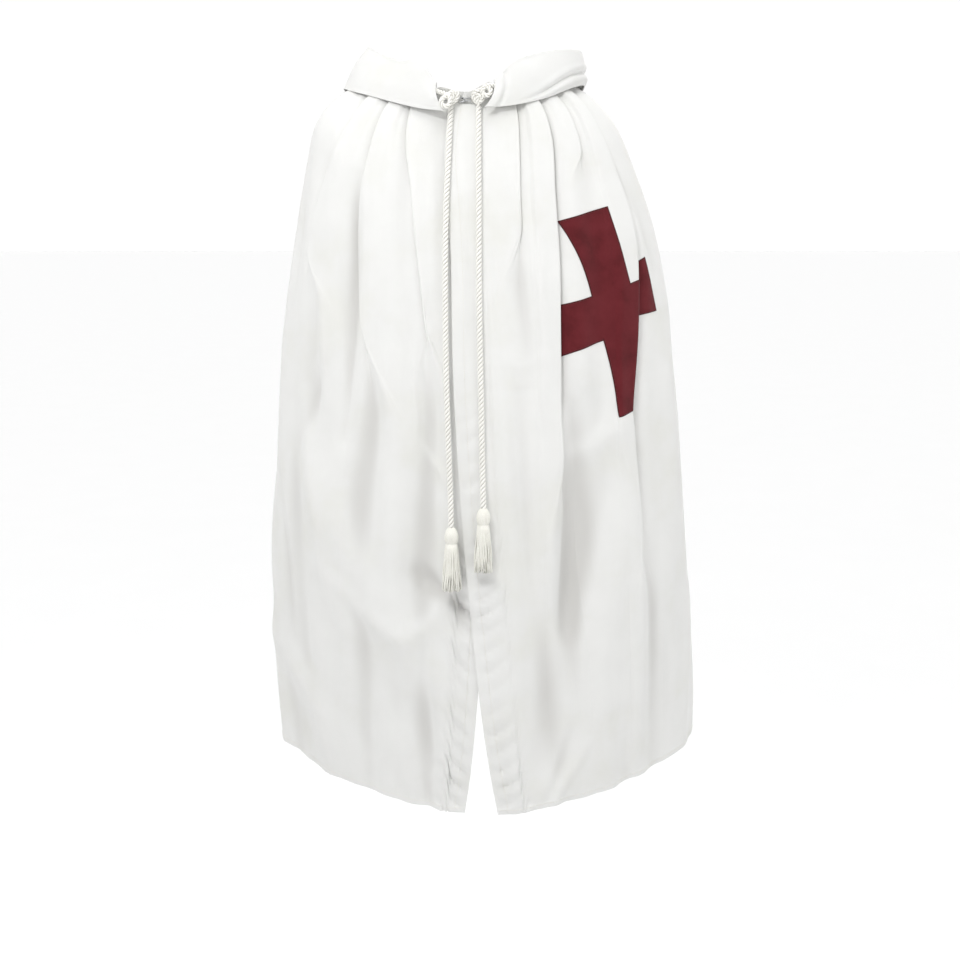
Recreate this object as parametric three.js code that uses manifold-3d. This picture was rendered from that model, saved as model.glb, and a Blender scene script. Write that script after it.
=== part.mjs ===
// A templar mantle: a long white cape, pleated to the neck, worn over the shoulders with no wearer inside.
// Millimetres, +Z up, the front faces -Y. The origin is at the middle of the neck opening, level with
// the wearer's shoulders where the cloth rests. "Left" and "right" are the wearer's own.
import * as THREE from "three";
import { mergeVertices } from "three/addons/utils/BufferGeometryUtils.js";
import Module from "manifold-3d";

// ---- Driving dimensions ------------------------------------------------------------------------
const clothWall = 1.4; // the wall that stands for the cloth
const seamGap = 0.6; // between two pieces sewn together
const laidGap = 0.6; // between a panel and what is sewn flat on it
const crossWall = 0.8; // the red cloth of the cross
const crossSpan = 326; // the cross from arm end to arm end
const crossWaist = 74; // the width of an arm at the middle of the cross
const crossFlare = 92; // the width of an arm at its end
const cordRadius = 4.8;
const cordSides = 8;
const tasselLength = 97;
const tasselRadius = 13.5;
const tasselSwing = 9.8; // how much further from the cloth a tassel's middle is than its cord's
const tasselDrop = 0.6; // from the cord's end to the top of its tassel's head
const strandCount = 24;
const outerStrands = 16;
const wireRadius = 0.9;

// ---- Small helpers -----------------------------------------------------------------------------
const { sin, cos, abs, min, max, PI, hypot, sign, floor } = Math;
const radians = (degrees) => (degrees * PI) / 180;
const mix = (a, b, f) => a + (b - a) * f;
const clamp = (x, low, high) => min(high, max(low, x));
const ease = (low, high, x) => {
  const f = clamp((x - low) / (high - low), 0, 1);
  return f * f * (3 - 2 * f);
};
const bell = (x) => Math.exp(-x * x);

// A table's rows as named values, and the same table as one list for each column.
const named = (columns, row) => Object.fromEntries(columns.map((key, k) => [key, row[k]]));
const tableOf = (columns, rows) => rows.map((row) => named(columns, row));
const columnsOf = (table) =>
  Object.fromEntries(Object.keys(table[0]).map((key) => [key, table.map((row) => row[key])]));

// A smooth curve through evenly spaced values, read at a fractional place.
function through(values, place) {
  const last = values.length - 1;
  const x = clamp(place, 0, last);
  const i = min(floor(x), last - 1);
  const f = x - i;
  const b = values[i];
  const c = values[i + 1];
  const a = i > 0 ? values[i - 1] : 2 * b - c;
  const d = i + 2 <= last ? values[i + 2] : 2 * c - b;
  const [slope, bend, twist] = [c - a, 2 * a - 5 * b + 4 * c - d, 3 * b - a - 3 * c + d];
  return b + 0.5 * (slope * f + bend * f ** 2 + twist * f ** 3);
}

// ---- The body's form: one ring for each height, before any pleat ---------------------------------
// half: half the width; front, back: how far it stands out; power: 2 is an ellipse, less is more pointed;
// the ring dips from zSide to zFront and zBack; centre: how far it leans to the wearer's left.
const ringColumns = ["name", "half", "front", "back", "zFront", "zSide", "zBack", "power", "centre"];
const rings = tableOf(ringColumns, [
  ["neck seam", 112, 95, 84, -34, 24, -8, 2, -2],
  ["under collar", 196, 113, 113, -78, -8, -42, 2, -4],
  ["shoulder", 243, 128, 134, -126, -54, -84, 2.1, -4],
  ["upper arm", 269, 146, 152, -180, -122, -148, 2.1, 4],
  ["chest", 300, 171, 170, -282, -232, -255, 2.1, 15],
  ["ribs", 326, 194, 190, -392, -366, -380, 2, 20],
  ["waist", 346, 217, 210, -520, -515, -517, 1.9, 23],
  ["hip", 361, 238, 229, -665, -660, -662, 1.8, 24],
  ["thigh", 372, 258, 247, -812, -805, -808, 1.7, 26],
  ["knee", 380, 276, 263, -960, -950, -955, 1.6, 30],
  ["shin", 383, 288, 273, -1075, -1060, -1068, 1.55, 33],
  ["hem", 382, 294, 279, -1158, -1140, -1150, 1.55, 35],
]);
const hemRow = rings.length - 1;
const ringTable = columnsOf(rings);

// The bare form at an angle from the centre front (turning to the wearer's left) and a row of the table.
function bodyPoint(angle, row) {
  const at = (key) => through(ringTable[key], row);
  const facesFront = cos(angle) > 0;
  const depth = facesFront ? at("front") : at("back");
  const power = facesFront ? at("power") : 2;
  const zEnd = facesFront ? at("zFront") : at("zBack");
  const reach = (abs(sin(angle) / at("half")) ** power + abs(cos(angle) / depth) ** power) ** (-1 / power);
  const z = at("zSide") + (zEnd - at("zSide")) * cos(angle) ** 2;
  return new THREE.Vector3(at("centre") + reach * sin(angle), -reach * cos(angle), z);
}

// The form's outward normal, and how many millimetres a radian is there.
function bodyFrame(angle, row) {
  const step = 0.01;
  const lowRow = max(row - step, 0);
  const highRow = min(row + step, hemRow);
  const around = bodyPoint(angle + step, row).sub(bodyPoint(angle - step, row));
  const down = bodyPoint(angle, highRow).sub(bodyPoint(angle, lowRow));
  const perRadian = around.length() / (2 * step);
  return { normal: down.cross(around).normalize(), perRadian };
}

// ---- Pleats --------------------------------------------------------------------------------------
// Knife pleats, each laid away from the centre front. The four angles give its line at the neck, the
// shoulder, the chest and the waist, in degrees. It is pressed shut down to row `shut` and has fallen open
// at row `open`. lap: how far its outer layer covers the one below; ridge, hemRidge: the soft wave left
// where it opens and at the hem; pitch: from one layer's middle to the next.
const stations = ["neck", "shoulder", "chest", "waist"];
const pleatColumns = ["name", ...stations, "shut", "open", "lap", "ridge", "hemRidge", "pitch"];
const frontLeftPleats = tableOf(pleatColumns, [
  ["A", 43, 36, 24, 19, 2.4, 4.6, 20, 5, 1, 3.2],
  ["B", 54, 52, 40, 32.5, 5.5, 7.4, 45, 7, 1, 5.6],
  ["C", 64, 63, 55, 50, 1.9, 3.2, 16, 3, 1, 3.2],
  ["D", 74, 72, 69.5, 59, 6.1, 8.4, 36, 8, 3, 5.6],
  ["E", 85, 85, 87, 86, 3, 6, 18, 5, 2, 3.2],
]);
const backLeftPleats = tableOf(pleatColumns, [
  ["F", 98, 101, 104, 104, 3, 6.5, 22, 8, 5, 3.2],
  ["G", 114, 118, 120, 121, 3.6, 7.5, 24, 10, 7, 3.2],
  ["H", 132, 135, 138, 138, 3.2, 7, 24, 9, 6, 3.2],
  ["I", 152, 154, 157, 158, 4, 8, 26, 11, 8, 3.2],
]);
const frontRightPleats = tableOf(pleatColumns, [
  ["M", -86, -86, -90, -91, 3, 6, 18, 5, 2, 3.2],
  ["N", -66, -65, -73, -74, 3.2, 5, 20, 6, 2, 3.2],
  ["O", -54, -53, -54.5, -43, 3.6, 6.4, 26, 10, 1, 3.2],
  ["P", -43, -37, -29, -18, 4.2, 5.6, 24, 7, 1, 3.2],
]);
const leftSeam = { neck: 91.5, shoulder: 93, chest: 95.5, waist: 95 };
const rightSeam = { neck: -91.5, shoulder: -93.5, chest: -97, waist: -97.5 };
const rowsPerStation = 2; // the four angles stand at rows 0, 2, 4 and 6
const lineAngle = (line, row) => radians(through(stations.map((key) => line[key]), row / rowsPerStation));

// The two front edges, in degrees at five even steps from neck to hem: the wearer's left front lies on top.
const topEdge = [-14, -13, -11.6, -4.7, 3.2];
const underEdge = [11, 10, 6, 0.4, -7.6];
const rowsPerEdgeStep = hemRow / (topEdge.length - 1);
const edgeAngle = (edge, row) => radians(through(edge, row / rowsPerEdgeStep));
const edgeClearance = radians(1.5); // the under front's last pleat ends this far short of the top edge
const neckPitch = 1.9; // the layers of a pleat lie closest in the neck seam
const overlapLift = 2.3; // the top front stands this far out from the form, the under front this far in

// Broad soft folds: a trough (depth below zero) or a ridge along a line from `top` to `end` rows.
const foldColumns = ["name", "top", "end", "angleTop", "angleMiddle", "angleEnd", "depth", "width"];
const softFolds = tableOf(foldColumns, [
  ["left trough", 6.2, 10.6, 54, 29, 18, -17, 42],
  ["left ridge", 6.5, 11.4, 66, 50, 44, 8, 70],
  ["left inner", 3.4, 6.5, 18, 14, 13, -5, 32],
  ["right swag", 6, 9.2, -76, -50, -16, 9, 46],
  ["right hollow", 5.4, 8.9, -40, -24, -10, -9, 50],
  ["right low ridge", 8.4, 11.6, -82, -62, -40, 6, 44],
  ["right side trough", 3.8, 7.2, -62, -62, -58, -10, 34],
  ["back left", 6, 11.6, 128, 131, 133, -9, 60],
  ["back middle", 5, 11.6, 176, 178, 178, 9, 70],
  ["back right", 6, 11.6, 228, 226, 224, -9, 60],
]);

// How far the broad folds move the cloth out from the form.
function softDepth(angle, row) {
  let depth = 0;
  for (const fold of softFolds) {
    const f = (row - fold.top) / (fold.end - fold.top);
    if (f <= 0 || f >= 1) continue;
    const line = radians(through([fold.angleTop, fold.angleMiddle, fold.angleEnd], 2 * f));
    const turn = Math.atan2(sin(angle - line), cos(angle - line));
    depth += fold.depth * sin(PI * f) * bell((turn * bodyFrame(line, row).perRadian) / fold.width);
  }
  return depth;
}

// A pleat's section: u runs 0..5 over the outer layer, its turn, the layer going back, the second turn
// and the lower layer. Returns the way along the form and out from it.
function pleatOffset(pleat, u, row, before, after) {
  const turned = pleat.lean < 0 ? 5 - u : u;
  const [low, high] = pleat.lean < 0 ? [after, before] : [before, after];
  const pitch = mix(neckPitch, pleat.pitch, ease(0, 1, row));
  const release = (pleat.shut + pleat.open) / 2;
  const lap = min(pleat.lap * (1 - ease(pleat.shut, release, row)), 0.8 * low);
  const openness = ease(release, pleat.open, row);
  const straight = max((lap - pitch) / 2, 0.5);
  const edge = straight + pitch / 2; // the visible fold stands on the pleat's line
  const zone = min(floor(turned), 4);
  const f = turned - zone;
  let along;
  let out;
  if (zone === 0) {
    along = f < 0.5 ? mix(edge - low, -straight, 2 * f) : mix(-straight, straight, 2 * f - 1);
    out = pitch * ease(0, 0.5, f);
  }
  if (zone === 1) [along, out] = [straight + (pitch / 2) * sin(PI * f), (pitch / 2) * (1 + cos(PI * f))];
  if (zone === 2) [along, out] = [mix(straight, -straight, f), 0];
  if (zone === 3) [along, out] = [-straight - (pitch / 2) * sin(PI * f), -(pitch / 2) * (1 - cos(PI * f))];
  if (zone === 4) {
    along = f < 0.5 ? mix(-straight, straight, 2 * f) : mix(straight, edge + high, 2 * f - 1);
    out = -pitch * (1 - ease(0.5, 1, f));
  }
  along -= edge;
  const ridge = mix(0, mix(pleat.ridge, pleat.hemRidge, ease(pleat.open, hemRow, row)), openness);
  const flat = mix(-low, high, turned / 5);
  return {
    along: pleat.lean * mix(along, flat, openness),
    out: mix(out, 0, openness) + ridge * sin((2 * PI * turned) / 5),
  };
}

// ---- Panels --------------------------------------------------------------------------------------
// A panel is a row of bays: plain strips, and one bay for each pleat.
const leanShare = 0.1;
function panelOf({ name, pleats, lean, from, to, firstPlain, lastPlain, lift = 0 }) {
  const lines = pleats.map((pleat) => ({ ...pleat, lean: lean(pleat) }));
  const bays = [];
  // A bay ends nearer to the pleat whose cloth lies underneath there.
  const share = (a, b) => 0.5 - leanShare * (a.lean + b.lean);
  const parting = (a, b) => (row) => mix(lineAngle(a, row), lineAngle(b, row), share(a, b));
  const startOfPleats = firstPlain ? (row) => mix(from(row), lineAngle(lines[0], row), 0.5) : from;
  const lastLine = lines[lines.length - 1];
  const clearOfTop = (row) => edgeAngle(topEdge, row) - edgeClearance;
  const beforeStrip = (row) => min(mix(lineAngle(lastLine, row), to(row), 0.5), clearOfTop(row));
  const endOfPleats = lastPlain ? beforeStrip : to;
  if (firstPlain) bays.push({ from, to: startOfPleats });
  lines.forEach((pleat, k) => {
    const start = k ? parting(lines[k - 1], pleat) : startOfPleats;
    const end = k + 1 < lines.length ? parting(pleat, lines[k + 1]) : endOfPleats;
    bays.push({ pleat, from: start, to: end });
  });
  if (lastPlain) bays.push({ from: endOfPleats, to });
  return { name, bays, lift, firstPlain, lastPlain };
}
const turnAbout = (line) => Object.fromEntries(stations.map((key) => [key, 360 - line[key]]));
const seamTurn = (line, row, shift) => {
  const angle = lineAngle(line, row);
  return angle + shift / bodyFrame(angle, row).perRadian;
};
const backRightPleats = [...backLeftPleats].reverse().map((pleat) => ({ ...pleat, ...turnAbout(pleat) }));
const rightSeamOnward = Object.fromEntries(stations.map((key) => [key, 360 + rightSeam[key]]));
const panels = {
  left: panelOf({
    name: "left_front",
    pleats: frontLeftPleats,
    lean: () => 1,
    from: (row) => edgeAngle(topEdge, row),
    to: (row) => seamTurn(leftSeam, row, -seamGap / 2),
    firstPlain: true,
    lift: overlapLift,
  }),
  back: panelOf({
    name: "back",
    pleats: [...backLeftPleats, ...backRightPleats],
    lean: (pleat) => (pleat.neck < 180 ? 1 : -1),
    from: (row) => seamTurn(leftSeam, row, seamGap / 2),
    to: (row) => seamTurn(rightSeamOnward, row, -seamGap / 2),
  }),
  right: panelOf({
    name: "right_front",
    pleats: frontRightPleats,
    lean: () => -1,
    from: (row) => seamTurn(rightSeam, row, seamGap / 2),
    to: (row) => edgeAngle(underEdge, row),
    lastPlain: true,
    lift: -overlapLift,
  }),
};

// How much of its lift a panel has at a place: all of it in the plain strip, fading over the next pleat.
function liftShare(panel, across) {
  if (panel.firstPlain) return 1 - ease(0, 1, 5 * (across - 1));
  return ease(0, 1, 5 * (across - panel.bays.length + 2) - 4);
}

// The middle of the cloth at a place on a panel: `across` counts bays, row counts rings.
function clothPoint(panel, across, row) {
  const k = clamp(floor(across), 0, panel.bays.length - 1);
  const f = across - k;
  const bay = panel.bays[k];
  const start = bay.from(row);
  const end = bay.to(row);
  let angle = mix(start, end, f);
  let out = 0;
  if (bay.pleat) {
    const line = lineAngle(bay.pleat, row);
    const { perRadian } = bodyFrame(line, row);
    const offset = pleatOffset(bay.pleat, 5 * f, row, (line - start) * perRadian, (end - line) * perRadian);
    angle = line + offset.along / perRadian;
    out = offset.out;
  }
  if (panel.lift) out += panel.lift * liftShare(panel, across);
  const { normal } = bodyFrame(angle, row);
  return bodyPoint(angle, row).addScaledVector(normal, out + softDepth(angle, row));
}

// The cloth's own outward normal, through its folds.
function clothNormal(panel, across, row) {
  const last = panel.bays.length;
  const step = 0.012;
  const rowStep = 0.04;
  const a = clothPoint(panel, max(across - step, 0), row);
  const b = clothPoint(panel, min(across + step, last - lastSliver), row);
  const up = clothPoint(panel, across, max(row - rowStep, 0));
  const down = clothPoint(panel, across, min(row + rowStep, hemRow));
  return down.sub(up).cross(b.sub(a)).normalize();
}

// ---- Solids --------------------------------------------------------------------------------------
// A closed geometry from an indexed list of points.
function geometryOf(points, triangles) {
  const geometry = new THREE.BufferGeometry();
  const numbers = points.flatMap((p) => [p.x, p.y, p.z]);
  geometry.setAttribute("position", new THREE.Float32BufferAttribute(numbers, 3));
  geometry.setIndex(triangles);
  geometry.computeVertexNormals();
  return geometry;
}

// A wall between an outer and an inner grid of points, closed along its four edges.
function wallBetween(outer, inner) {
  const rowsDown = outer.length;
  const columns = outer[0].length;
  const points = [...outer.flat(), ...inner.flat()];
  const at = (side, j, i) => side * rowsDown * columns + j * columns + i;
  const triangles = [];
  const quad = (a, b, c, d) => triangles.push(a, b, c, a, c, d);
  for (let j = 0; j + 1 < rowsDown; j++) {
    for (let i = 0; i + 1 < columns; i++) {
      quad(at(0, j, i), at(0, j + 1, i), at(0, j + 1, i + 1), at(0, j, i + 1));
      quad(at(1, j, i), at(1, j, i + 1), at(1, j + 1, i + 1), at(1, j + 1, i));
    }
    quad(at(0, j, 0), at(1, j, 0), at(1, j + 1, 0), at(0, j + 1, 0));
    quad(at(0, j, columns - 1), at(0, j + 1, columns - 1), at(1, j + 1, columns - 1), at(1, j, columns - 1));
  }
  const end = rowsDown - 1;
  for (let i = 0; i + 1 < columns; i++) {
    quad(at(0, 0, i), at(0, 0, i + 1), at(1, 0, i + 1), at(1, 0, i));
    quad(at(0, end, i), at(1, end, i), at(1, end, i + 1), at(0, end, i + 1));
  }
  return geometryOf(points, triangles);
}

// The rows and the places across at which the panels are cut into facets.
const lastSliver = 1e-6; // keeps the last stop inside the last bay
const bodyRows = [0, 0.6, 1.3, 2.1, 3, 3.8, 4.6, 5.3, 6, 6.8, 7.8, 8.9, 10, 11];
const stripStops = [0, 1.67, 3.33];
const shallowStops = [0, 0.5, 1, 2, 3, 4, 4.5];
const deepStops = [0, 0.5, 1, 1.33, 1.67, 2, 3, 3.5, 4, 4.5];
const deepPleats = ["A", "B", "D", "O", "P"];
const zones = 5; // the parts of a pleat's section
function stopsInBay({ pleat }) {
  if (!pleat) return stripStops;
  const stops = deepPleats.includes(pleat.name) ? deepStops : shallowStops;
  // A pleat that leans the other way has its stops the other way round.
  return pleat.lean > 0 ? stops : stops.map((u) => (u ? zones - u : 0));
}
function stopsAcross(panel) {
  const stops = panel.bays.flatMap((bay, k) => stopsInBay(bay).map((u) => k + u / zones));
  return [...stops.sort((a, b) => a - b), panel.bays.length - lastSliver];
}

// A panel's grid: its middle points and normals.
function panelGrid(panel) {
  const stops = stopsAcross(panel);
  const cloth = (across, row) => ({
    middle: clothPoint(panel, across, row),
    normal: clothNormal(panel, across, row),
  });
  return bodyRows.map((row) => stops.map((across) => cloth(across, row)));
}
const moved = (p, distance) => p.middle.clone().addScaledVector(p.normal, distance);
const movedOut = (grid, distance) => grid.map((line) => line.map((p) => moved(p, distance)));
const grids = Object.fromEntries(Object.entries(panels).map(([key, panel]) => [key, panelGrid(panel)]));
const wallOf = (grid) => wallBetween(movedOut(grid, clothWall / 2), movedOut(grid, -clothWall / 2));

// ---- The collar and the neck band ------------------------------------------------------------------
// The roll is the collar's highest line and the fall its free lower edge. Each row stands at an angle
// from the centre front; radius and height are measured from the middle of the neck.
const collarColumns = ["angle", "rollRadius", "rollHeight", "fallRadius", "fallHeight"];
const collarStations = tableOf(collarColumns, [
  [23, 113, 2, 122, -40],
  [38, 121, 33, 132, -36],
  [56, 143, 48, 155, -22],
  [74, 172, 56, 182, -2],
  [92, 187, 58, 195, 4],
  [114, 170, 46, 192, -16],
  [136, 138, 26, 177, -46],
  [158, 117, 12, 160, -70],
  [180, 110, 7, 154, -78],
  [202, 116, 12, 160, -70],
  [224, 134, 26, 178, -47],
  [246, 156, 50, 196, -18],
  [268, 160, 68, 205, 0],
  [286, 150, 55, 188, -10],
  [304, 132, 36, 160, -25],
  [321, 119, 31, 134, -40],
  [336, 114, -2, 124, -46],
]);
const collarTable = columnsOf(collarStations);
const degreesPerStation = 20;
const rollLoop = 3.4; // the half width of the roll, where the fall turns over the stand
const standLeg = 7; // how far the collar's inner layer comes down inside the roll
const collarSteps = 2; // facets between two stations
const fallSteps = 4;
const fallSwell = 4; // how far the fall bellies out
const collarCornerLean = 9; // the fall's front corners reach this many degrees past the roll's ends

const polar = (angle, radius, height) => new THREE.Vector3(radius * sin(angle), -radius * cos(angle), height);

// The collar's middle surface: along counts stations; down runs from the inner leg over the roll to the edge.
function collarPoint(along, down) {
  const last = collarStations.length - 1;
  const at = (key) => through(collarTable[key], along);
  const cornerTurn = collarCornerLean * (ease(last - 2, last, along) - ease(2, 0, along));
  const angle = radians(at("angle"));
  const roll = polar(angle, at("rollRadius"), at("rollHeight"));
  const outward = polar(angle, 1, 0);
  const from = (out, up) => roll.clone().addScaledVector(outward, out).add(new THREE.Vector3(0, 0, up));
  if (down < 1) return from(-rollLoop, -rollLoop - standLeg * (1 - down));
  const turn = PI * (down - 1);
  if (down < 2) return from(-rollLoop * cos(turn), rollLoop * (sin(turn) - 1));
  const f = down - 2;
  const top = from(rollLoop, -rollLoop);
  const cornerAngle = radians(at("angle") + cornerTurn * f);
  const edge = polar(cornerAngle, at("fallRadius"), at("fallHeight"));
  return new THREE.Vector3().lerpVectors(top, edge, f).addScaledVector(outward, fallSwell * sin(PI * f));
}

function surfaceNormal(surface, a, b, lastA, lastB) {
  const step = 0.02;
  const alongA = surface(min(a + step, lastA), b).sub(surface(max(a - step, 0), b));
  const alongB = surface(a, min(b + step, lastB)).sub(surface(a, max(b - step, 0)));
  return alongB.cross(alongA).normalize();
}

function wallOfSurface(surface, placesA, placesB) {
  const lastA = placesA[placesA.length - 1];
  const lastB = placesB[placesB.length - 1];
  const cloth = (a, b) => ({ middle: surface(a, b), normal: surfaceNormal(surface, a, b, lastA, lastB) });
  return wallOf(placesB.map((b) => placesA.map((a) => cloth(a, b))));
}
const evenly = (count, from, to) => Array.from({ length: count + 1 }, (_, i) => mix(from, to, i / count));

const collarPlaces = evenly((collarStations.length - 1) * collarSteps, 0, collarStations.length - 1);
function collarGeometry() {
  const down = [0, 1, 1.25, 1.5, 1.75, ...evenly(fallSteps, 2, 3)];
  return wallOfSurface(collarPoint, collarPlaces, down);
}

// The neck band stands on the neck seam and leans out to the collar's inner leg. Its two ends meet at the
// centre front at the top and part below, where the hook sits.
const bandTop = { radius: 99, height: -13 }; // where the band's ends meet
const standGap = 1.9; // from the band's top edge to the collar's inner leg
const bandFootRise = 3.3; // clear of the thickest pleats in the neck seam
const bandEndGapTop = 0.6; // half of what parts the band's ends, at the top and at the foot
const bandEndGapFoot = 7.5;
const partReach = 16; // degrees from the front over which they part
const centreFront = -2; // the band's ends meet this far off the middle
const centreReach = 60;
function bandTopPoint(angleDegrees) {
  const last = collarStations.length - 1;
  const first = collarStations[0].angle;
  const end = collarStations[last].angle;
  const turned = angleDegrees < 0 ? angleDegrees + 360 : angleDegrees;
  if (turned < first || turned > end) {
    const f = turned < first ? turned / first : (360 - turned) / (360 - end);
    const corner = turned < first ? 0 : last;
    const legEnd = collarPoint(corner, 0);
    const radius = mix(bandTop.radius, hypot(legEnd.x, legEnd.y), f);
    return polar(radians(turned), radius, mix(bandTop.height, legEnd.z, f * f));
  }
  let along = 0;
  while (along < last - 1 && collarStations[along + 1].angle < turned) along++;
  for (let step = 0; step < 12; step++) {
    const miss = turned - through(collarTable.angle, along);
    along = clamp(along + miss / degreesPerStation, 0, last);
  }
  return collarPoint(along, 0);
}
function bandPoint(turn, up) {
  const angle = radians(turn);
  const foot = bodyPoint(angle, 0).add(new THREE.Vector3(0, 0, bandFootRise));
  const top = bandTopPoint(turn);
  const lean = top.clone().sub(foot).normalize();
  const seam = bandTopPoint(turn + 1).sub(bandTopPoint(turn - 1)).normalize();
  top.z -= (standGap + (clothWall / 2) * hypot(lean.x, lean.y)) / hypot(seam.x, seam.y);
  const point = new THREE.Vector3().lerpVectors(foot, top, up);
  const fromEnd = min(turn, 360 - turn);
  const part = mix(bandEndGapFoot, bandEndGapTop, up) * (1 - ease(0, partReach, fromEnd));
  point.x += turn < 180 ? part : -part;
  point.x += centreFront * (1 - ease(0, centreReach, fromEnd));
  return point;
}
function bandGeometry() {
  const underCollar = collarPlaces.map((along) => through(collarTable.angle, along));
  const around = [0, 8, 16, ...underCollar, 344, 352, 360];
  return wallOfSurface((turn, down) => bandPoint(turn, 1 - down), around, [0, 0.33, 0.67, 1]);
}

// ---- The red cross -------------------------------------------------------------------------------
// A cross with four flared arms, drawn on the flat cloth and then carried onto the folded panel.
// It is set out from a place on the left front, so many bays across and rows down: its middle lies `outward`
// and `below` it in millimetres of cloth, and it is turned by `tilt` degrees off the grain.
const crossPlace = { across: 4, row: 4.6, outward: 7.5, below: 34, tilt: 15 };

// The cross as convex pieces: a square and, for each arm, strips that widen along a curve.
const armStrips = 3;
const flarePower = 2.2;
function crossPieces() {
  const half = crossSpan / 2;
  const waist = crossWaist / 2;
  const width = (f) => mix(waist, crossFlare / 2, f ** flarePower);
  const pieces = [[[-waist, -waist], [waist, -waist], [waist, waist], [-waist, waist]]];
  for (let arm = 0; arm < 4; arm++) {
    const turn = (x, y) => [[x, y], [-y, x], [-x, -y], [y, -x]][arm];
    for (let s = 0; s < armStrips; s++) {
      const [f, g] = [s / armStrips, (s + 1) / armStrips];
      const [near, far] = [mix(waist, half, f), mix(waist, half, g)];
      pieces.push([turn(near, -width(f)), turn(far, -width(g)), turn(far, width(g)), turn(near, width(f))]);
    }
  }
  return pieces;
}

// Twice the area of a flat triangle, below zero where it turns clockwise.
const area = (a, b, c) => (b[0] - a[0]) * (c[1] - a[1]) - (b[1] - a[1]) * (c[0] - a[0]);

// The part of a convex piece that lies in a triangle.
function clippedTo(triangle, piece) {
  const corners = area(...triangle) > 0 ? triangle : [triangle[0], triangle[2], triangle[1]];
  let shape = piece;
  for (let k = 0; k < 3 && shape.length; k++) {
    const [a, b] = [corners[k], corners[(k + 1) % 3]];
    const kept = [];
    shape.forEach((p, i) => {
      const q = shape[(i + 1) % shape.length];
      const [sideP, sideQ] = [area(a, b, p), area(a, b, q)];
      if (sideP >= 0) kept.push(p);
      if ((sideP > 0 && sideQ < 0) || (sideP < 0 && sideQ > 0)) {
        const f = sideP / (sideP - sideQ);
        kept.push([mix(p[0], q[0], f), mix(p[1], q[1], f)]);
      }
    });
    shape = kept;
  }
  return shape;
}

// Where each point of a panel's grid lies on the flat cloth, measured from a place on it: level steps along
// its row, and the way down the line through that place, corrected by how far the row rises or falls.
function flatCloth(grid, originColumn, originRow) {
  const levelStep = (a, b) => hypot(a.middle.x - b.middle.x, a.middle.y - b.middle.y);
  const wholeStep = (a, b) => a.middle.distanceTo(b.middle);
  const length = (points, from, to, stepLength) => {
    let sum = 0;
    for (let k = min(from, to); k < max(from, to); k++) sum += stepLength(points[k], points[k + 1]);
    return sum * sign(to - from);
  };
  const originLine = grid.map((line) => line[originColumn]);
  return grid.map((line, j) => {
    const down = length(originLine, originRow, j, wholeStep);
    return line.map((p, i) => {
      const rise = p.middle.z - originLine[j].middle.z;
      return [length(line, originColumn, i, levelStep), rise - down];
    });
  });
}

const samePoint = 0.05; // points of the flat shape closer than this are one
// A piece of cloth sewn flat on a panel: the panel's own facets inside the shape, moved out.
function laidOn(grid, flat, pieces, inner, outer) {
  const shapePoints = [];
  const facets = [];
  const place = (x, y, corners, weights) => {
    const known = shapePoints.findIndex((p) => hypot(p.x - x, p.y - y) < samePoint);
    if (known >= 0) return known;
    const middle = new THREE.Vector3();
    const normal = new THREE.Vector3();
    corners.forEach((p, k) => {
      middle.addScaledVector(p.middle, weights[k]);
      normal.addScaledVector(p.normal, weights[k]);
    });
    return shapePoints.push({ x, y, middle, normal: normal.normalize() }) - 1;
  };
  for (let j = 0; j + 1 < grid.length; j++) {
    for (let i = 0; i + 1 < grid[0].length; i++) {
      const cell = [[j, i], [j + 1, i], [j + 1, i + 1], [j, i + 1]];
      for (const pick of [[0, 1, 2], [0, 2, 3]]) {
        const corners = pick.map((k) => grid[cell[k][0]][cell[k][1]]);
        const flats = pick.map((k) => flat[cell[k][0]][cell[k][1]]);
        const whole = area(...flats);
        for (const piece of pieces) {
          const shape = clippedTo(flats, piece);
          if (shape.length < 3) continue;
          const weights = (p) =>
            [area(p, flats[1], flats[2]), area(flats[0], p, flats[2]), area(flats[0], flats[1], p)].map(
              (part) => part / whole,
            );
          const indices = shape.map((p) => place(p[0], p[1], corners, weights(p)));
          const loop = indices.filter((v, k) => v !== indices[(k + 1) % indices.length]);
          for (let k = 1; k + 1 < loop.length; k++) {
            const facet = [loop[0], loop[k], loop[k + 1]];
            if (new Set(facet).size === facet.length) facets.push(facet);
          }
        }
      }
    }
  }
  return closedShell(shapePoints, facets, inner, outer);
}

// Two copies of a patch, joined round every free edge.
function closedShell(points, facets, inner, outer) {
  const count = points.length;
  const edges = new Map();
  const triangles = [];
  for (const [a, b, c] of facets) {
    triangles.push(a, b, c, count + a, count + c, count + b);
    for (const [p, q] of [[a, b], [b, c], [c, a]]) {
      if (edges.has(`${q} ${p}`)) edges.delete(`${q} ${p}`);
      else edges.set(`${p} ${q}`, [p, q]);
    }
  }
  for (const [p, q] of edges.values()) triangles.push(q, p, count + p, q, count + p, count + q);
  return geometryOf([outer, inner].flatMap((distance) => points.map((p) => moved(p, distance))), triangles);
}

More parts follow.
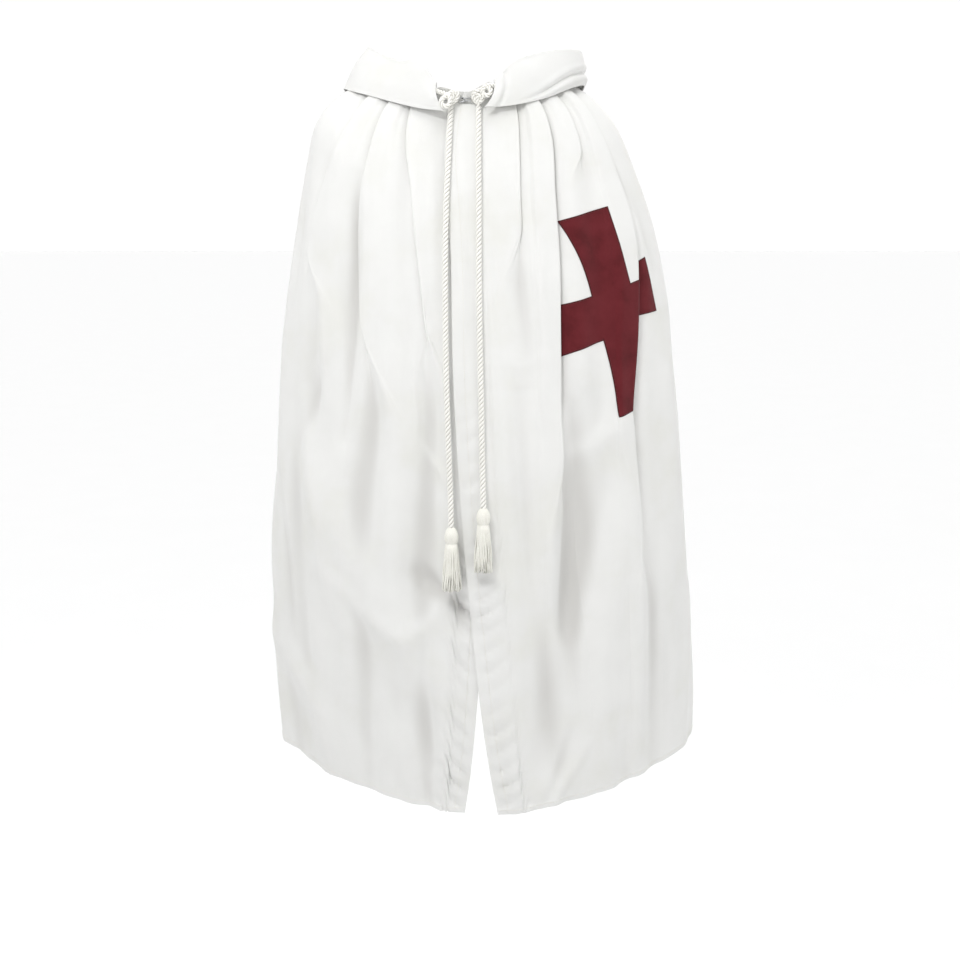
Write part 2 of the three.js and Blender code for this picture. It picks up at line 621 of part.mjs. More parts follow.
// ---- Cords, tassels and the clasp ------------------------------------------------------------------
// Each cord hangs down the front from its loop at the neck. Its line is given as a way across (mm from
// the centre) at five heights, the last at the top of its tassel.
// extra: how much further out than usual it lies at those heights.
const cords = [
  {
    name: "left",
    loopX: 20,
    across: [20, 20, 21, 24, 27],
    extra: [0, 0, 0, 0, 0],
    foot: -664,
  },
  {
    name: "right",
    loopX: -22,
    across: [-24, -31, -31, -27, -21],
    extra: [0.3, 0.3, 5, 5.3, 0.3],
    foot: -695,
  },
];
const loopPlace = { front: -107.2, height: -24 }; // the middle of a loop
const tailEnd = { angle: radians(25), radius: 114.4, height: -19 }; // a loop's end, under the collar
const loopRadius = 6.2;
const loopCord = 3.9; // the loops' cord, pulled tight
const cordStart = -39.4; // the height on the cloth where a cord leaves its loop
const cordSteps = 30;
const cordFacets = 40;
const cordGap = 0.9; // from the cloth to the cord
const swingFrom = 0.88; // the share of its length at which a cord begins to swing out to its tassel

// The row of the form's table that has a given height at an angle.
function rowAtHeight(angle, height) {
  let [low, high] = [0, hemRow];
  for (let step = 0; step < 40; step++) {
    const middle = (low + high) / 2;
    if (bodyPoint(angle, middle).z > height) low = middle;
    else high = middle;
  }
  return (low + high) / 2;
}

// A point in front of the form at a given x and height.
function inFront(x, height, out) {
  let angle = 0;
  let row = 0;
  for (let step = 0; step < 24; step++) {
    row = rowAtHeight(angle, height);
    const p = bodyPoint(angle, row);
    angle += (x - p.x) / bodyFrame(angle, row).perRadian;
  }
  const { normal } = bodyFrame(angle, row);
  return bodyPoint(angle, row).addScaledVector(normal, out + softDepth(angle, row));
}

function cordCurve(cord) {
  const clear = overlapLift + clothWall / 2 + cordRadius + cordGap;
  const points = evenly(cordSteps, 0, 1).map((f) => {
    const place = f * (cord.across.length - 1);
    const swing = tasselSwing * ease(swingFrom, 1, f) + through(cord.extra, place);
    return inFront(through(cord.across, place), mix(cordStart, cord.foot, f), clear + swing);
  });
  return new THREE.CatmullRomCurve3(points);
}

function circle(radius, sides) {
  const points = evenly(sides, 0, 2 * PI).slice(0, -1);
  return new THREE.Shape(points.map((a) => new THREE.Vector2(radius * cos(a), radius * sin(a))));
}
function tubeAlong(curve, radius, sides, steps) {
  return new THREE.ExtrudeGeometry(circle(radius, sides), { extrudePath: curve, steps, bevelEnabled: false });
}

const wasm = await Module();
wasm.setup();
function solidOf(geometry) {
  const bare = geometry.index ? geometry.toNonIndexed() : geometry.clone();
  for (const name of ["normal", "uv"]) bare.deleteAttribute(name);
  const merged = mergeVertices(bare, 1e-4);
  return new wasm.Manifold(
    new wasm.Mesh({
      numProp: 3,
      vertProperties: new Float32Array(merged.attributes.position.array),
      triVerts: new Uint32Array(merged.index.array),
    }),
  );
}
function geometryOfSolid(solid) {
  const mesh = solid.getMesh();
  const geometry = new THREE.BufferGeometry();
  geometry.setAttribute("position", new THREE.BufferAttribute(new Float32Array(mesh.vertProperties), 3));
  geometry.setIndex(Array.from(mesh.triVerts));
  geometry.computeVertexNormals();
  return geometry;
}
const joined = (geometries) => geometryOfSolid(geometries.map(solidOf).reduce((a, b) => a.add(b)));

// A tassel hangs below the origin of its own frame: a bound head and a skirt of loose strands.
const headSides = 12;
const strandSides = 4;
const strandSteps = 2;
const strandTop = -26;
const trim = 4; // the strands' ends are uneven by this much
const strandRings = [
  { count: outerStrands, root: 8.6, foot: tasselRadius, radius: 1.2, start: 0 },
  { count: strandCount - outerStrands, root: 4.8, foot: 7.4, radius: 1.15, start: 0.2 },
];
const headProfile = [
  { radius: 0, height: 0 },
  { radius: 4.5, height: -0.4 },
  { radius: 9.5, height: -6 },
  { radius: 10.6, height: -13 },
  { radius: 9.2, height: -19 },
  { radius: 10.4, height: -24 },
  { radius: 10.8, height: -30 },
  { radius: 0, height: -31 },
];
function tasselGeometry() {
  const profile = headProfile.map((p) => new THREE.Vector2(p.radius, p.height)).reverse();
  const pieces = [new THREE.LatheGeometry(profile, headSides).rotateX(PI / 2)];
  for (const ring of strandRings) {
    for (let k = 0; k < ring.count; k++) {
      const turn = (2 * PI * k) / ring.count + ring.start;
      const length = tasselLength - trim + trim * sin(5.3 * k);
      const reach = (f) => mix(ring.root, ring.foot, f ** 1.4) + 0.5 * sin(7 * k + 3 * f);
      const line = [0, 0.4, 0.75, 1].map((f) =>
        polar(turn + PI / 2, reach(f), mix(strandTop, -length, f)),
      );
      pieces.push(tubeAlong(new THREE.CatmullRomCurve3(line), ring.radius, strandSides, strandSteps));
    }
  }
  return joined(pieces);
}

// The loop that a cord makes at the neck: a ring of cord, and its end running up under the collar.
function loopGeometry(cord) {
  const side = sign(cord.loopX);
  const centre = new THREE.Vector3(cord.loopX, loopPlace.front, loopPlace.height);
  const ring = new THREE.TorusGeometry(loopRadius, loopCord, cordSides, 14);
  const under = polar(side * tailEnd.angle, tailEnd.radius, tailEnd.height);
  const start = centre.clone().add(new THREE.Vector3(side * loopRadius * 0.8, 0, loopRadius * 0.6));
  const tail = tubeAlong(new THREE.LineCurve3(start, under), loopCord, cordSides, 2);
  return joined([ring.rotateX(PI / 2).translate(...centre), tail]);
}

// Hook and eye, bent from wire, at the foot of the gap between the band's ends.
const clasp = { x: centreFront, y: -99.2, z: -26.5 };
const wireSides = 6;
const wireSteps = 14;
const eyeWire = { from: -0.85, to: 0.85, x: -5, width: 4.4, depth: 0, height: 3.6 };
const hookWire = { from: -0.5, to: 0.5, x: 11, width: -13, depth: -2.6, height: 2.2 };
function wireGeometry({ from, to, x, width, depth, height }) {
  const points = evenly(10, from, to).map((f) => {
    const [along, up] = [cos(PI * f), sin(PI * f)];
    return new THREE.Vector3(clasp.x + x + width * along, clasp.y + depth * along, clasp.z + height * up);
  });
  return tubeAlong(new THREE.CatmullRomCurve3(points), wireRadius, wireSides, wireSteps);
}

// ---- The scene graph -------------------------------------------------------------------------------
const cream = new THREE.MeshStandardMaterial({ color: 0xf4f3ef, roughness: 0.78, metalness: 0 });
const red = new THREE.MeshStandardMaterial({ color: 0x74292d, roughness: 0.7, metalness: 0 });
const cordWhite = new THREE.MeshStandardMaterial({ color: 0xeceadf, roughness: 0.6, metalness: 0 });
const steel = new THREE.MeshStandardMaterial({ color: 0xb9bcc0, roughness: 0.3, metalness: 1 });

const mantle = new THREE.Group();
function add(name, geometry, material, place) {
  const mesh = new THREE.Mesh(geometry, material);
  mesh.name = name;
  if (place) mesh.position.copy(place);
  mantle.add(mesh);
}

for (const [key, panel] of Object.entries(panels)) add(panel.name, wallOf(grids[key]), cream);
add("collar", collarGeometry(), cream);
add("neck_band", bandGeometry(), cream);

function crossGeometry() {
  const nearest = (list, value) =>
    list.reduce((best, x, i) => (abs(x - value) < abs(list[best] - value) ? i : best), 0);
  const originColumn = nearest(stopsAcross(panels.left), crossPlace.across);
  const originRow = nearest(bodyRows, crossPlace.row);
  const tilt = radians(crossPlace.tilt);
  const placed = ([x, y]) => [
    crossPlace.outward + x * cos(tilt) - y * sin(tilt),
    -crossPlace.below + x * sin(tilt) + y * cos(tilt),
  ];
  const pieces = crossPieces().map((piece) => piece.map(placed));
  const inner = clothWall / 2 + laidGap;
  const flat = flatCloth(grids.left, originColumn, originRow);
  return laidOn(grids.left, flat, pieces, inner, inner + crossWall);
}
add("cross", crossGeometry(), red);

for (const cord of cords) {
  const curve = cordCurve(cord);
  add(`${cord.name}_cord`, tubeAlong(curve, cordRadius, cordSides, cordFacets), cordWhite);
  add(`${cord.name}_loop`, loopGeometry(cord), cordWhite);
  const foot = curve.getPoint(1);
  const below = inFront(foot.x, foot.z - tasselLength, 0).sub(inFront(foot.x, foot.z, 0)).normalize();
  const hang = new THREE.Quaternion().setFromUnitVectors(new THREE.Vector3(0, 0, -1), below);
  const top = foot.addScaledVector(below, tasselDrop);
  add(`${cord.name}_tassel`, tasselGeometry().applyQuaternion(hang), cordWhite, top);
}
add("eye", wireGeometry(eyeWire), steel);
add("hook", wireGeometry(hookWire), steel);

export default mantle;
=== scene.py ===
import math

import bpy
import numpy as np
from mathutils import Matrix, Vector


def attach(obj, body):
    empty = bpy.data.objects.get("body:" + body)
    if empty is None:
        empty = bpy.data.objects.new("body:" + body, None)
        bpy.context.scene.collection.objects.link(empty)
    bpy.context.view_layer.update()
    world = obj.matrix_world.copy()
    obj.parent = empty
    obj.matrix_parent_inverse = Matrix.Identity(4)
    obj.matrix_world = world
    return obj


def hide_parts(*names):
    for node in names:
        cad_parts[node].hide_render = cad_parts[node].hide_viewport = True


# A pleated cape mantle held in its worn form, with nobody inside. The cloth's tables are in millimetres,
# Blender's objects in metres. "Left" and "right" are the wearer's own; the front faces -Y.
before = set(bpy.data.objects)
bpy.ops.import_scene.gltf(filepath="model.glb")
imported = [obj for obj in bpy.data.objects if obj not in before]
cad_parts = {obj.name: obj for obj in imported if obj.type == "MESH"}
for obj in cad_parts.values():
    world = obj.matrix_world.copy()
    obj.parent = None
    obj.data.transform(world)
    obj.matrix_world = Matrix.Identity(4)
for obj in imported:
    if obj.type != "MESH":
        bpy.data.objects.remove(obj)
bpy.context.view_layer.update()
mm = 0.001
clothWall = 1.4  # mm, as thick as the solids' cloth

# Camera: back far enough for the whole fall of the cloth, looking a little down on it
cameraSettings = {"place": (0.022, -2.0, -0.22), "tiltDown": 12.5, "lens": 43.05, "sensor": 36}


def placeCamera(settings):
    data = bpy.data.cameras.new("standing_eye")
    data.lens = settings["lens"]
    data.sensor_width = settings["sensor"]
    eye = bpy.data.objects.new("standing_eye", data)
    eye.location = settings["place"]
    eye.rotation_euler = (math.radians(90 - settings["tiltDown"]), 0, 0)
    bpy.context.collection.objects.link(eye)
    bpy.context.scene.camera = eye


placeCamera(cameraSettings)
print("camera placed")


# Sums used by every piece
def through(values, place):  # a smooth curve through evenly spaced values, read at a fractional place
    values = np.asarray(values, float)
    last = len(values) - 1
    x = np.clip(place, 0, last)
    i = np.minimum(np.floor(x).astype(int), last - 1)
    f = x - i
    b, c = values[i], values[i + 1]
    a = np.where(i > 0, values[np.maximum(i - 1, 0)], 2 * b - c)
    d = np.where(i + 2 <= last, values[np.minimum(i + 2, last)], 2 * c - b)
    return 0.5 * (2 * b + (c - a) * f + (2 * a - 5 * b + 4 * c - d) * f**2 + (3 * b - a - 3 * c + d) * f**3)


def mix(a, b, f):
    return a + (b - a) * f


def ease(low, high, x):
    f = np.clip((x - low) / (high - low), 0, 1)
    return f * f * (3 - 2 * f)


def bell(x):
    return np.exp(-np.square(x))


def unit(vectors):
    return vectors / np.maximum(np.linalg.norm(vectors, axis=-1, keepdims=True), 1e-12)


def runLength(points):  # how far along a line each of its points is
    steps = np.linalg.norm(np.diff(points, axis=0), axis=-1)
    return np.concatenate([[0], np.cumsum(steps)])


# Materials
def hexColour(text):  # sRGB hex to linear, with full alpha
    values = [int(text[k:k + 2], 16) / 255 for k in (1, 3, 5)]
    return [v / 12.92 if v <= 0.04045 else ((v + 0.055) / 1.055) ** 2.4 for v in values] + [1]


def addNode(tree, kind, links=None, stops=(), **settings):  # a linked node gives its first output
    node = tree.nodes.new("ShaderNode" + kind)
    for key, value in settings.items():
        setattr(node, key, value)
    for key, value in (links or {}).items():
        source = value.outputs[0] if isinstance(value, bpy.types.Node) else value
        if isinstance(source, bpy.types.NodeSocket):
            tree.links.new(source, node.inputs[key])
        else:
            node.inputs[key].default_value = source
    if stops:  # the colours along a ramp
        elements = node.color_ramp.elements
        while len(elements) < len(stops):
            elements.new(0.5)
        for element, (place, colour) in zip(elements, stops):
            element.position = place
            element.color = hexColour(colour)
    return node


def newMaterial(name):
    material = bpy.data.materials.new(name)
    material.use_nodes = True
    material.node_tree.nodes.clear()
    return material, material.node_tree


def finishMaterial(material, links):
    tree = material.node_tree
    shader = addNode(tree, "BsdfPrincipled", links)
    addNode(tree, "OutputMaterial", {"Surface": shader})
    return material


cottonSettings = {
    "threadSpacing": 0.9,  # mm; the real twill is nearer 0.5, too fine to show
    "slubLength": 14,  # mm
    "mottleSize": 95,  # mm, washing and handling
    "napSize": 2.38,  # mm; the real nap is finer, too fine to show
    "white": "#E7E7E5",
    "shade": "#E5E5E3",
    "worn": "#E2E2DE",
    "paintedFoldShade": "#D0CFCC",  # painted shade: greyer in the hollows between the folds, where less light reaches
}


def cottonTwill(settings):
    # White cotton twill, woven, washed and lightly pressed: matt, with a fine diagonal rib and soft sheen
    material, tree = newMaterial("white_cotton_twill")
    grain = addNode(tree, "UVMap", uv_map="grain")
    split = addNode(tree, "SeparateXYZ", {"Vector": grain})
    threads = 1000 / settings["threadSpacing"]  # the grain map is in metres
    diagonal = addNode(tree, "Math", {0: split.outputs["X"], 1: split.outputs["Y"]}, operation="ADD")
    turns = addNode(tree, "Math", {0: diagonal, 1: threads * math.pi}, operation="MULTIPLY")
    rib = addNode(tree, "Math", {0: turns}, operation="SINE")
    stretch = addNode(tree, "Mapping", {"Vector": grain,
                                        "Scale": (threads / 3, 1000 / settings["slubLength"], 1)})
    slub = addNode(tree, "TexNoise", {"Vector": stretch, "Scale": 1.0, "Detail": 2.0, "Roughness": 0.6})
    place = addNode(tree, "TexCoord").outputs["Object"]
    mottle = addNode(tree, "TexNoise", {"Vector": place, "Scale": 1000 / settings["mottleSize"],
                                        "Detail": 4.0, "Roughness": 0.55})
    fuzz = addNode(tree, "TexNoise", {"Vector": place, "Scale": 1000 / settings["napSize"],
                                      "Detail": 3.0, "Roughness": 0.7})
    tone = addNode(tree, "ValToRGB", {"Fac": mottle}, [(0.32, settings["worn"]), (0.5, settings["shade"]),
                                                       (0.66, settings["white"])])
    # painted shade: the cloth's colour is greyed in the hollows between its folds
    hollow = addNode(tree, "Attribute", attribute_name="paintedFoldShade").outputs["Fac"]
    foldShaded = addNode(tree, "Mix", {"Factor": hollow, 6: tone, 7: hexColour(settings["paintedFoldShade"])},
                    data_type="RGBA")
    height = addNode(tree, "Math", {0: slub, 1: 2.2, 2: rib}, operation="MULTIPLY_ADD")
    weave = addNode(tree, "Bump", {"Strength": 0.35, "Distance": 0.00012, "Height": height})
    nap = addNode(tree, "Bump", {"Strength": 0.25, "Distance": 0.0004, "Height": fuzz, "Normal": weave})
    rough = addNode(tree, "MapRange", {"Value": slub, "To Min": 0.78, "To Max": 0.92})
    return finishMaterial(material, {
        "Base Color": foldShaded.outputs[2], "Roughness": rough, "Normal": nap,
        "IOR": 1.46, "Sheen Weight": 0.18, "Sheen Roughness": 0.5, "Specular IOR Level": 0.25})


redSettings = {
    "threadSpacing": 1.1,  # mm; the real one is nearer 0.4, too fine to show
    "fadingSize": 41.7,  # mm
    "red": "#611D23",
    "dark": "#55171C",
    "faded": "#682228",
    "edge": "#4B1A1D",
}


def redCotton(settings):
    # Cotton dyed madder red, plain woven and appliqued: matt, a little faded, darker along its sewn edge
    material, tree = newMaterial("madder_red_cotton")
    grain = addNode(tree, "UVMap", uv_map="grain")
    split = addNode(tree, "SeparateXYZ", {"Vector": grain})
    threads = 1000 / settings["threadSpacing"] * math.pi
    ribs = []
    for axis in ("X", "Y"):
        turns = addNode(tree, "Math", {0: split.outputs[axis], 1: threads}, operation="MULTIPLY")
        ribs.append(addNode(tree, "Math", {0: turns}, operation="SINE"))
    weave = addNode(tree, "Math", {0: ribs[0], 1: ribs[1]}, operation="MULTIPLY")
    place = addNode(tree, "TexCoord").outputs["Object"]
    fading = addNode(tree, "TexNoise", {"Vector": place, "Scale": 1000 / settings["fadingSize"],
                                        "Detail": 6.0, "Roughness": 0.62})
    tone = addNode(tree, "ValToRGB", {"Fac": fading}, [(0.34, settings["dark"]), (0.5, settings["red"]),
                                                       (0.68, settings["faded"])])
    inward = addNode(tree, "Attribute", attribute_name="fromEdge").outputs["Fac"]
    near = addNode(tree, "MapRange", {"Value": inward, "From Min": 0.5, "From Max": 1.0,
                                      "To Min": 1.0, "To Max": 0.0})
    colour = addNode(tree, "Mix", {"Factor": near, 6: tone, 7: hexColour(settings["edge"])}, data_type="RGBA")
    bump = addNode(tree, "Bump", {"Strength": 0.4, "Distance": 0.00025, "Height": weave})
    return finishMaterial(material, {
        "Base Color": colour.outputs[2], "Roughness": 0.82, "Normal": bump,
        "IOR": 1.46, "Sheen Weight": 0.12, "Sheen Roughness": 0.45, "Specular IOR Level": 0.2})


def rayonCord(name, colours, fibreWidth, groove):
    # Twisted rayon yarn, off-white: long fibres along each strand catch a soft light, and painted shade greys
    # it in its grooves
    material, tree = newMaterial(name)
    place = addNode(tree, "TexCoord").outputs["Object"]
    across, along = 1000 / fibreWidth, 1000 / 16.7  # a fibre's streak runs for some 17 mm
    fibres = addNode(tree, "Mapping", {"Vector": place, "Scale": (across, across, along)})
    streak = addNode(tree, "TexNoise", {"Vector": fibres, "Scale": 1.0, "Detail": 3.0, "Roughness": 0.6})
    tone = addNode(tree, "ValToRGB", {"Fac": streak}, list(zip((0.3, 0.5, 0.66), colours)))
    # painted shade: greyer where the groove field marks strands lying inward
    inner = addNode(tree, "Attribute", attribute_name="groove").outputs["Fac"]
    shaded = addNode(tree, "Mix", {"Factor": inner, 6: tone, 7: hexColour(groove)}, data_type="RGBA")
    bump = addNode(tree, "Bump", {"Strength": 0.35, "Distance": 0.0003, "Height": streak})
    rough = addNode(tree, "MapRange", {"Value": streak, "To Min": 0.45, "To Max": 0.65})
    return finishMaterial(material, {
        "Base Color": shaded.outputs[2], "Roughness": rough, "Normal": bump,
        "IOR": 1.5, "Sheen Weight": 0.15, "Sheen Roughness": 0.4, "Specular IOR Level": 0.35})


def platedSteel():
    # Nickel-plated steel wire, drawn and bent: bright, with fine drawing lines
    material, tree = newMaterial("plated_steel_wire")
    place = addNode(tree, "TexCoord").outputs["Object"]
    drawn = addNode(tree, "TexNoise", {"Vector": place, "Scale": 1000 / 1.11, "Detail": 4.0,
                                       "Roughness": 0.7})  # lines some 1.1 mm apart
    tone = addNode(tree, "ValToRGB", {"Fac": drawn}, [(0.35, "#A9ABAD"), (0.6, "#C6C7C8")])
    rough = addNode(tree, "MapRange", {"Value": drawn, "To Min": 0.24, "To Max": 0.42})
    bump = addNode(tree, "Bump", {"Strength": 0.2, "Distance": 0.0001, "Height": drawn})
    return finishMaterial(material, {"Base Color": tone, "Metallic": 1.0, "Roughness": rough, "Normal": bump})


cotton = cottonTwill(cottonSettings)
red = redCotton(redSettings)
# the colours of the darkest, middle and lightest fibres, a fibre's width in mm, and the painted shade in the
# grooves
cordYarn = rayonCord("twisted_rayon_cord", ("#E8E7DF", "#F2F1EC", "#FAF9F6"), 0.5, "#A9A79C")
tasselYarn = rayonCord("cut_rayon_yarn", ("#E2E1D7", "#EFEEE6", "#F8F7F2"), 0.4, "#9C9A8B")
sewingThread = rayonCord("mercerised_thread", ("#D6D4CC", "#E4E2DA", "#EEEDE7"), 0.2, "#B5B3AB")
redThread = rayonCord("dark_red_thread", ("#45161A", "#521C20", "#5E2428"), 0.2, "#3A1215")
steel = platedSteel()
print("materials made")


# Meshes
def makePiece(name, points, faces, material, replaced=(), grain=None, fields=None, sharp=55):
    mesh = bpy.data.meshes.new(name)
    mesh.from_pydata((np.asarray(points) * mm).tolist(), [], [list(map(int, f)) for f in faces])
    mesh.polygons.foreach_set("use_smooth", [True] * len(mesh.polygons))
    if grain is not None:
        corners = np.empty(len(mesh.loops), int)
        mesh.loops.foreach_get("vertex_index", corners)
        layer = mesh.uv_layers.new(name="grain")
        layer.data.foreach_set("uv", (np.asarray(grain)[corners] * mm).ravel())
    for key, values in (fields or {}).items():
        mesh.attributes.new(key, "FLOAT", "POINT").data.foreach_set("value", np.asarray(values, float))
    if sharp:
        mesh.set_sharp_from_angle(angle=math.radians(sharp))
    mesh.materials.append(material)
    piece = bpy.data.objects.new(name, mesh)
    bpy.context.collection.objects.link(piece)
    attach(piece, "root")
    if replaced:
        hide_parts(*replaced)
    return piece


def gridNormals(middle):  # rows run down, columns round the wearer
    across = np.gradient(middle, axis=1)
    down = np.gradient(middle, axis=0)
    return unit(np.cross(down, across))


def clothFaces(rows, columns):  # a closed sheet: two faces and the four edges between them
    o, n = np.arange(2 * rows * columns).reshape(2, rows, columns)  # the points of the outer and inner face

    def quads(a, b, c, d):
        return np.stack([a.ravel(), b.ravel(), c.ravel(), d.ravel()], axis=1)

    return np.concatenate([
        quads(o[:-1, :-1], o[1:, :-1], o[1:, 1:], o[:-1, 1:]),
        quads(n[:-1, :-1], n[:-1, 1:], n[1:, 1:], n[1:, :-1]),
        quads(o[:-1, 0], n[:-1, 0], n[1:, 0], o[1:, 0]),
        quads(o[:-1, -1], o[1:, -1], n[1:, -1], n[:-1, -1]),
        quads(o[0, :-1], o[0, 1:], n[0, 1:], n[0, :-1]),
        quads(o[-1, :-1], n[-1, :-1], n[-1, 1:], o[-1, 1:]),
    ])


def makeCloth(name, middle, node, grain, half=clothWall / 2, fields=None):
    # half: how far each face is from the middle
    lift = gridNormals(middle) * np.broadcast_to(half, middle.shape[:2])[..., None]
    points = np.concatenate([(middle + lift).reshape(-1, 3), (middle - lift).reshape(-1, 3)])
    return makePiece(name, points, clothFaces(*middle.shape[:2]), cotton, [node],
                     grain=np.tile(grain.reshape(-1, 2), (2, 1)), fields=fields)


def tubeRings(line, radius, sides):  # rings round a line, carried along it without twisting
    line = np.asarray(line, float)
    tangent = unit(np.gradient(line, axis=0))
    side = np.cross(tangent[0], [0.31, 0.17, 0.93])
    if np.linalg.norm(side) < 0.05:
        side = np.cross(tangent[0], [0.93, 0.17, 0.31])
    turn = np.linspace(0, 2 * np.pi, sides, endpoint=False)[:, None]
    tube = []
    for p, t, r in zip(line, tangent, np.broadcast_to(radius, len(line))):
        side = unit(side - t * np.dot(side, t))
        tube.append(p + r * (np.cos(turn) * side + np.sin(turn) * np.cross(t, side)))
    return np.array(tube)


def makeTubes(name, tubes, material, replaced=(), groove=None):  # several tubes as one piece
    faces, start = [], 0
    for count, sides, _ in (tube.shape for tube in tubes):
        for k in range(count - 1):
            for s in range(sides):
                a, b = start + k * sides + s, start + k * sides + (s + 1) % sides
                faces.append([a, b, b + sides, a + sides])
        faces.append([start + s for s in reversed(range(sides))])
        faces.append([start + (count - 1) * sides + s for s in range(sides)])
        start += count * sides
    return makePiece(name, np.concatenate([tube.reshape(-1, 3) for tube in tubes]), faces, material,
                     replaced, fields={} if groove is None else {"groove": groove}, sharp=None)


# The form that the cloth hangs in: one ring for each height
rings = np.array([
    # half its width, its reach to the front and back, its height at the front, sides and back, how square
    # its front half is (2 is an ellipse), and how far its middle lies to the left
    [112, 95, 84, -34, 24, -8, 2, -2],  # neck seam
    [196, 113, 113, -78, -8, -42, 2, -4],  # under the collar
    [243, 128, 134, -126, -54, -84, 2.1, -4],  # shoulder
    [269, 146, 152, -180, -122, -148, 2.1, 4],  # upper arm
    [300, 171, 170, -282, -232, -255, 2.1, 15],  # chest
    [326, 194, 190, -392, -366, -380, 2, 20],  # ribs
    [346, 217, 210, -520, -515, -517, 1.9, 23],  # waist
    [361, 238, 229, -665, -660, -662, 1.8, 24],  # hip
    [372, 258, 247, -812, -805, -808, 1.7, 26],  # thigh
    [380, 276, 263, -960, -950, -955, 1.6, 30],  # knee
    [383, 288, 273, -1075, -1060, -1068, 1.55, 33],  # shin
    [382, 294, 279, -1158, -1140, -1150, 1.55, 35],  # hem
])
hemRow = len(rings) - 1
rowHeights = rings[:, 4]


def formPoint(angle, row):
    half, front, back, zFront, zSide, zBack, power, centre = through(rings, row)
    s, c = np.sin(angle), np.cos(angle)
    depth = np.where(c > 0, front, back)
    n = np.where(c > 0, power, 2.0)
    zEnd = np.where(c > 0, zFront, zBack)
    reach = (np.abs(s / half) ** n + np.abs(c / depth) ** n) ** (-1 / n)
    return np.stack([centre + reach * s, -reach * c, zSide + (zEnd - zSide) * c**2], axis=-1)


def formFrame(angle, row):  # the outward normal, and how many millimetres a radian is
    step = 0.01
    around = formPoint(angle + step, row) - formPoint(angle - step, row)
    down = formPoint(angle, min(row + step, hemRow)) - formPoint(angle, max(row - step, 0))
    return unit(np.cross(down, around)), np.linalg.norm(around, axis=-1) / (2 * step)


# Broad folds: a trough (below zero) or a ridge along a line of three angles, fading at both ends, in mm
softFolds = [
    # top row, end row, angles at the top, middle and end, depth, width
    (6.2, 10.6, 54, 29, 18, -17, 42),
    (6.5, 11.4, 66, 50, 44, 8, 70),
    (3.4, 6.5, 18, 14, 13, -5, 32),
    (6, 9.2, -76, -50, -16, 9, 46),
    (5.4, 8.9, -40, -24, -10, -9, 50),
    (8.4, 11.6, -82, -62, -40, 6, 44),
    (3.8, 7.2, -62, -62, -58, -10, 34),
    (6, 11.6, 128, 131, 133, -9, 60),
    (5, 11.6, 176, 178, 178, 9, 70),
    (6, 11.6, 228, 226, 224, -9, 60),
]


def softDepth(angle, row):
    depth = np.zeros(np.shape(angle))
    for top, end, a, b, c, deep, width in softFolds:
        f = (row - top) / (end - top)
        if not 0 < f < 1:
            continue
        line = math.radians(float(through([a, b, c], 2 * f)))
        turn = np.arctan2(np.sin(angle - line), np.cos(angle - line))
        depth = depth + deep * math.sin(math.pi * f) * bell(turn * formFrame(line, row)[1] / width)
    return depth
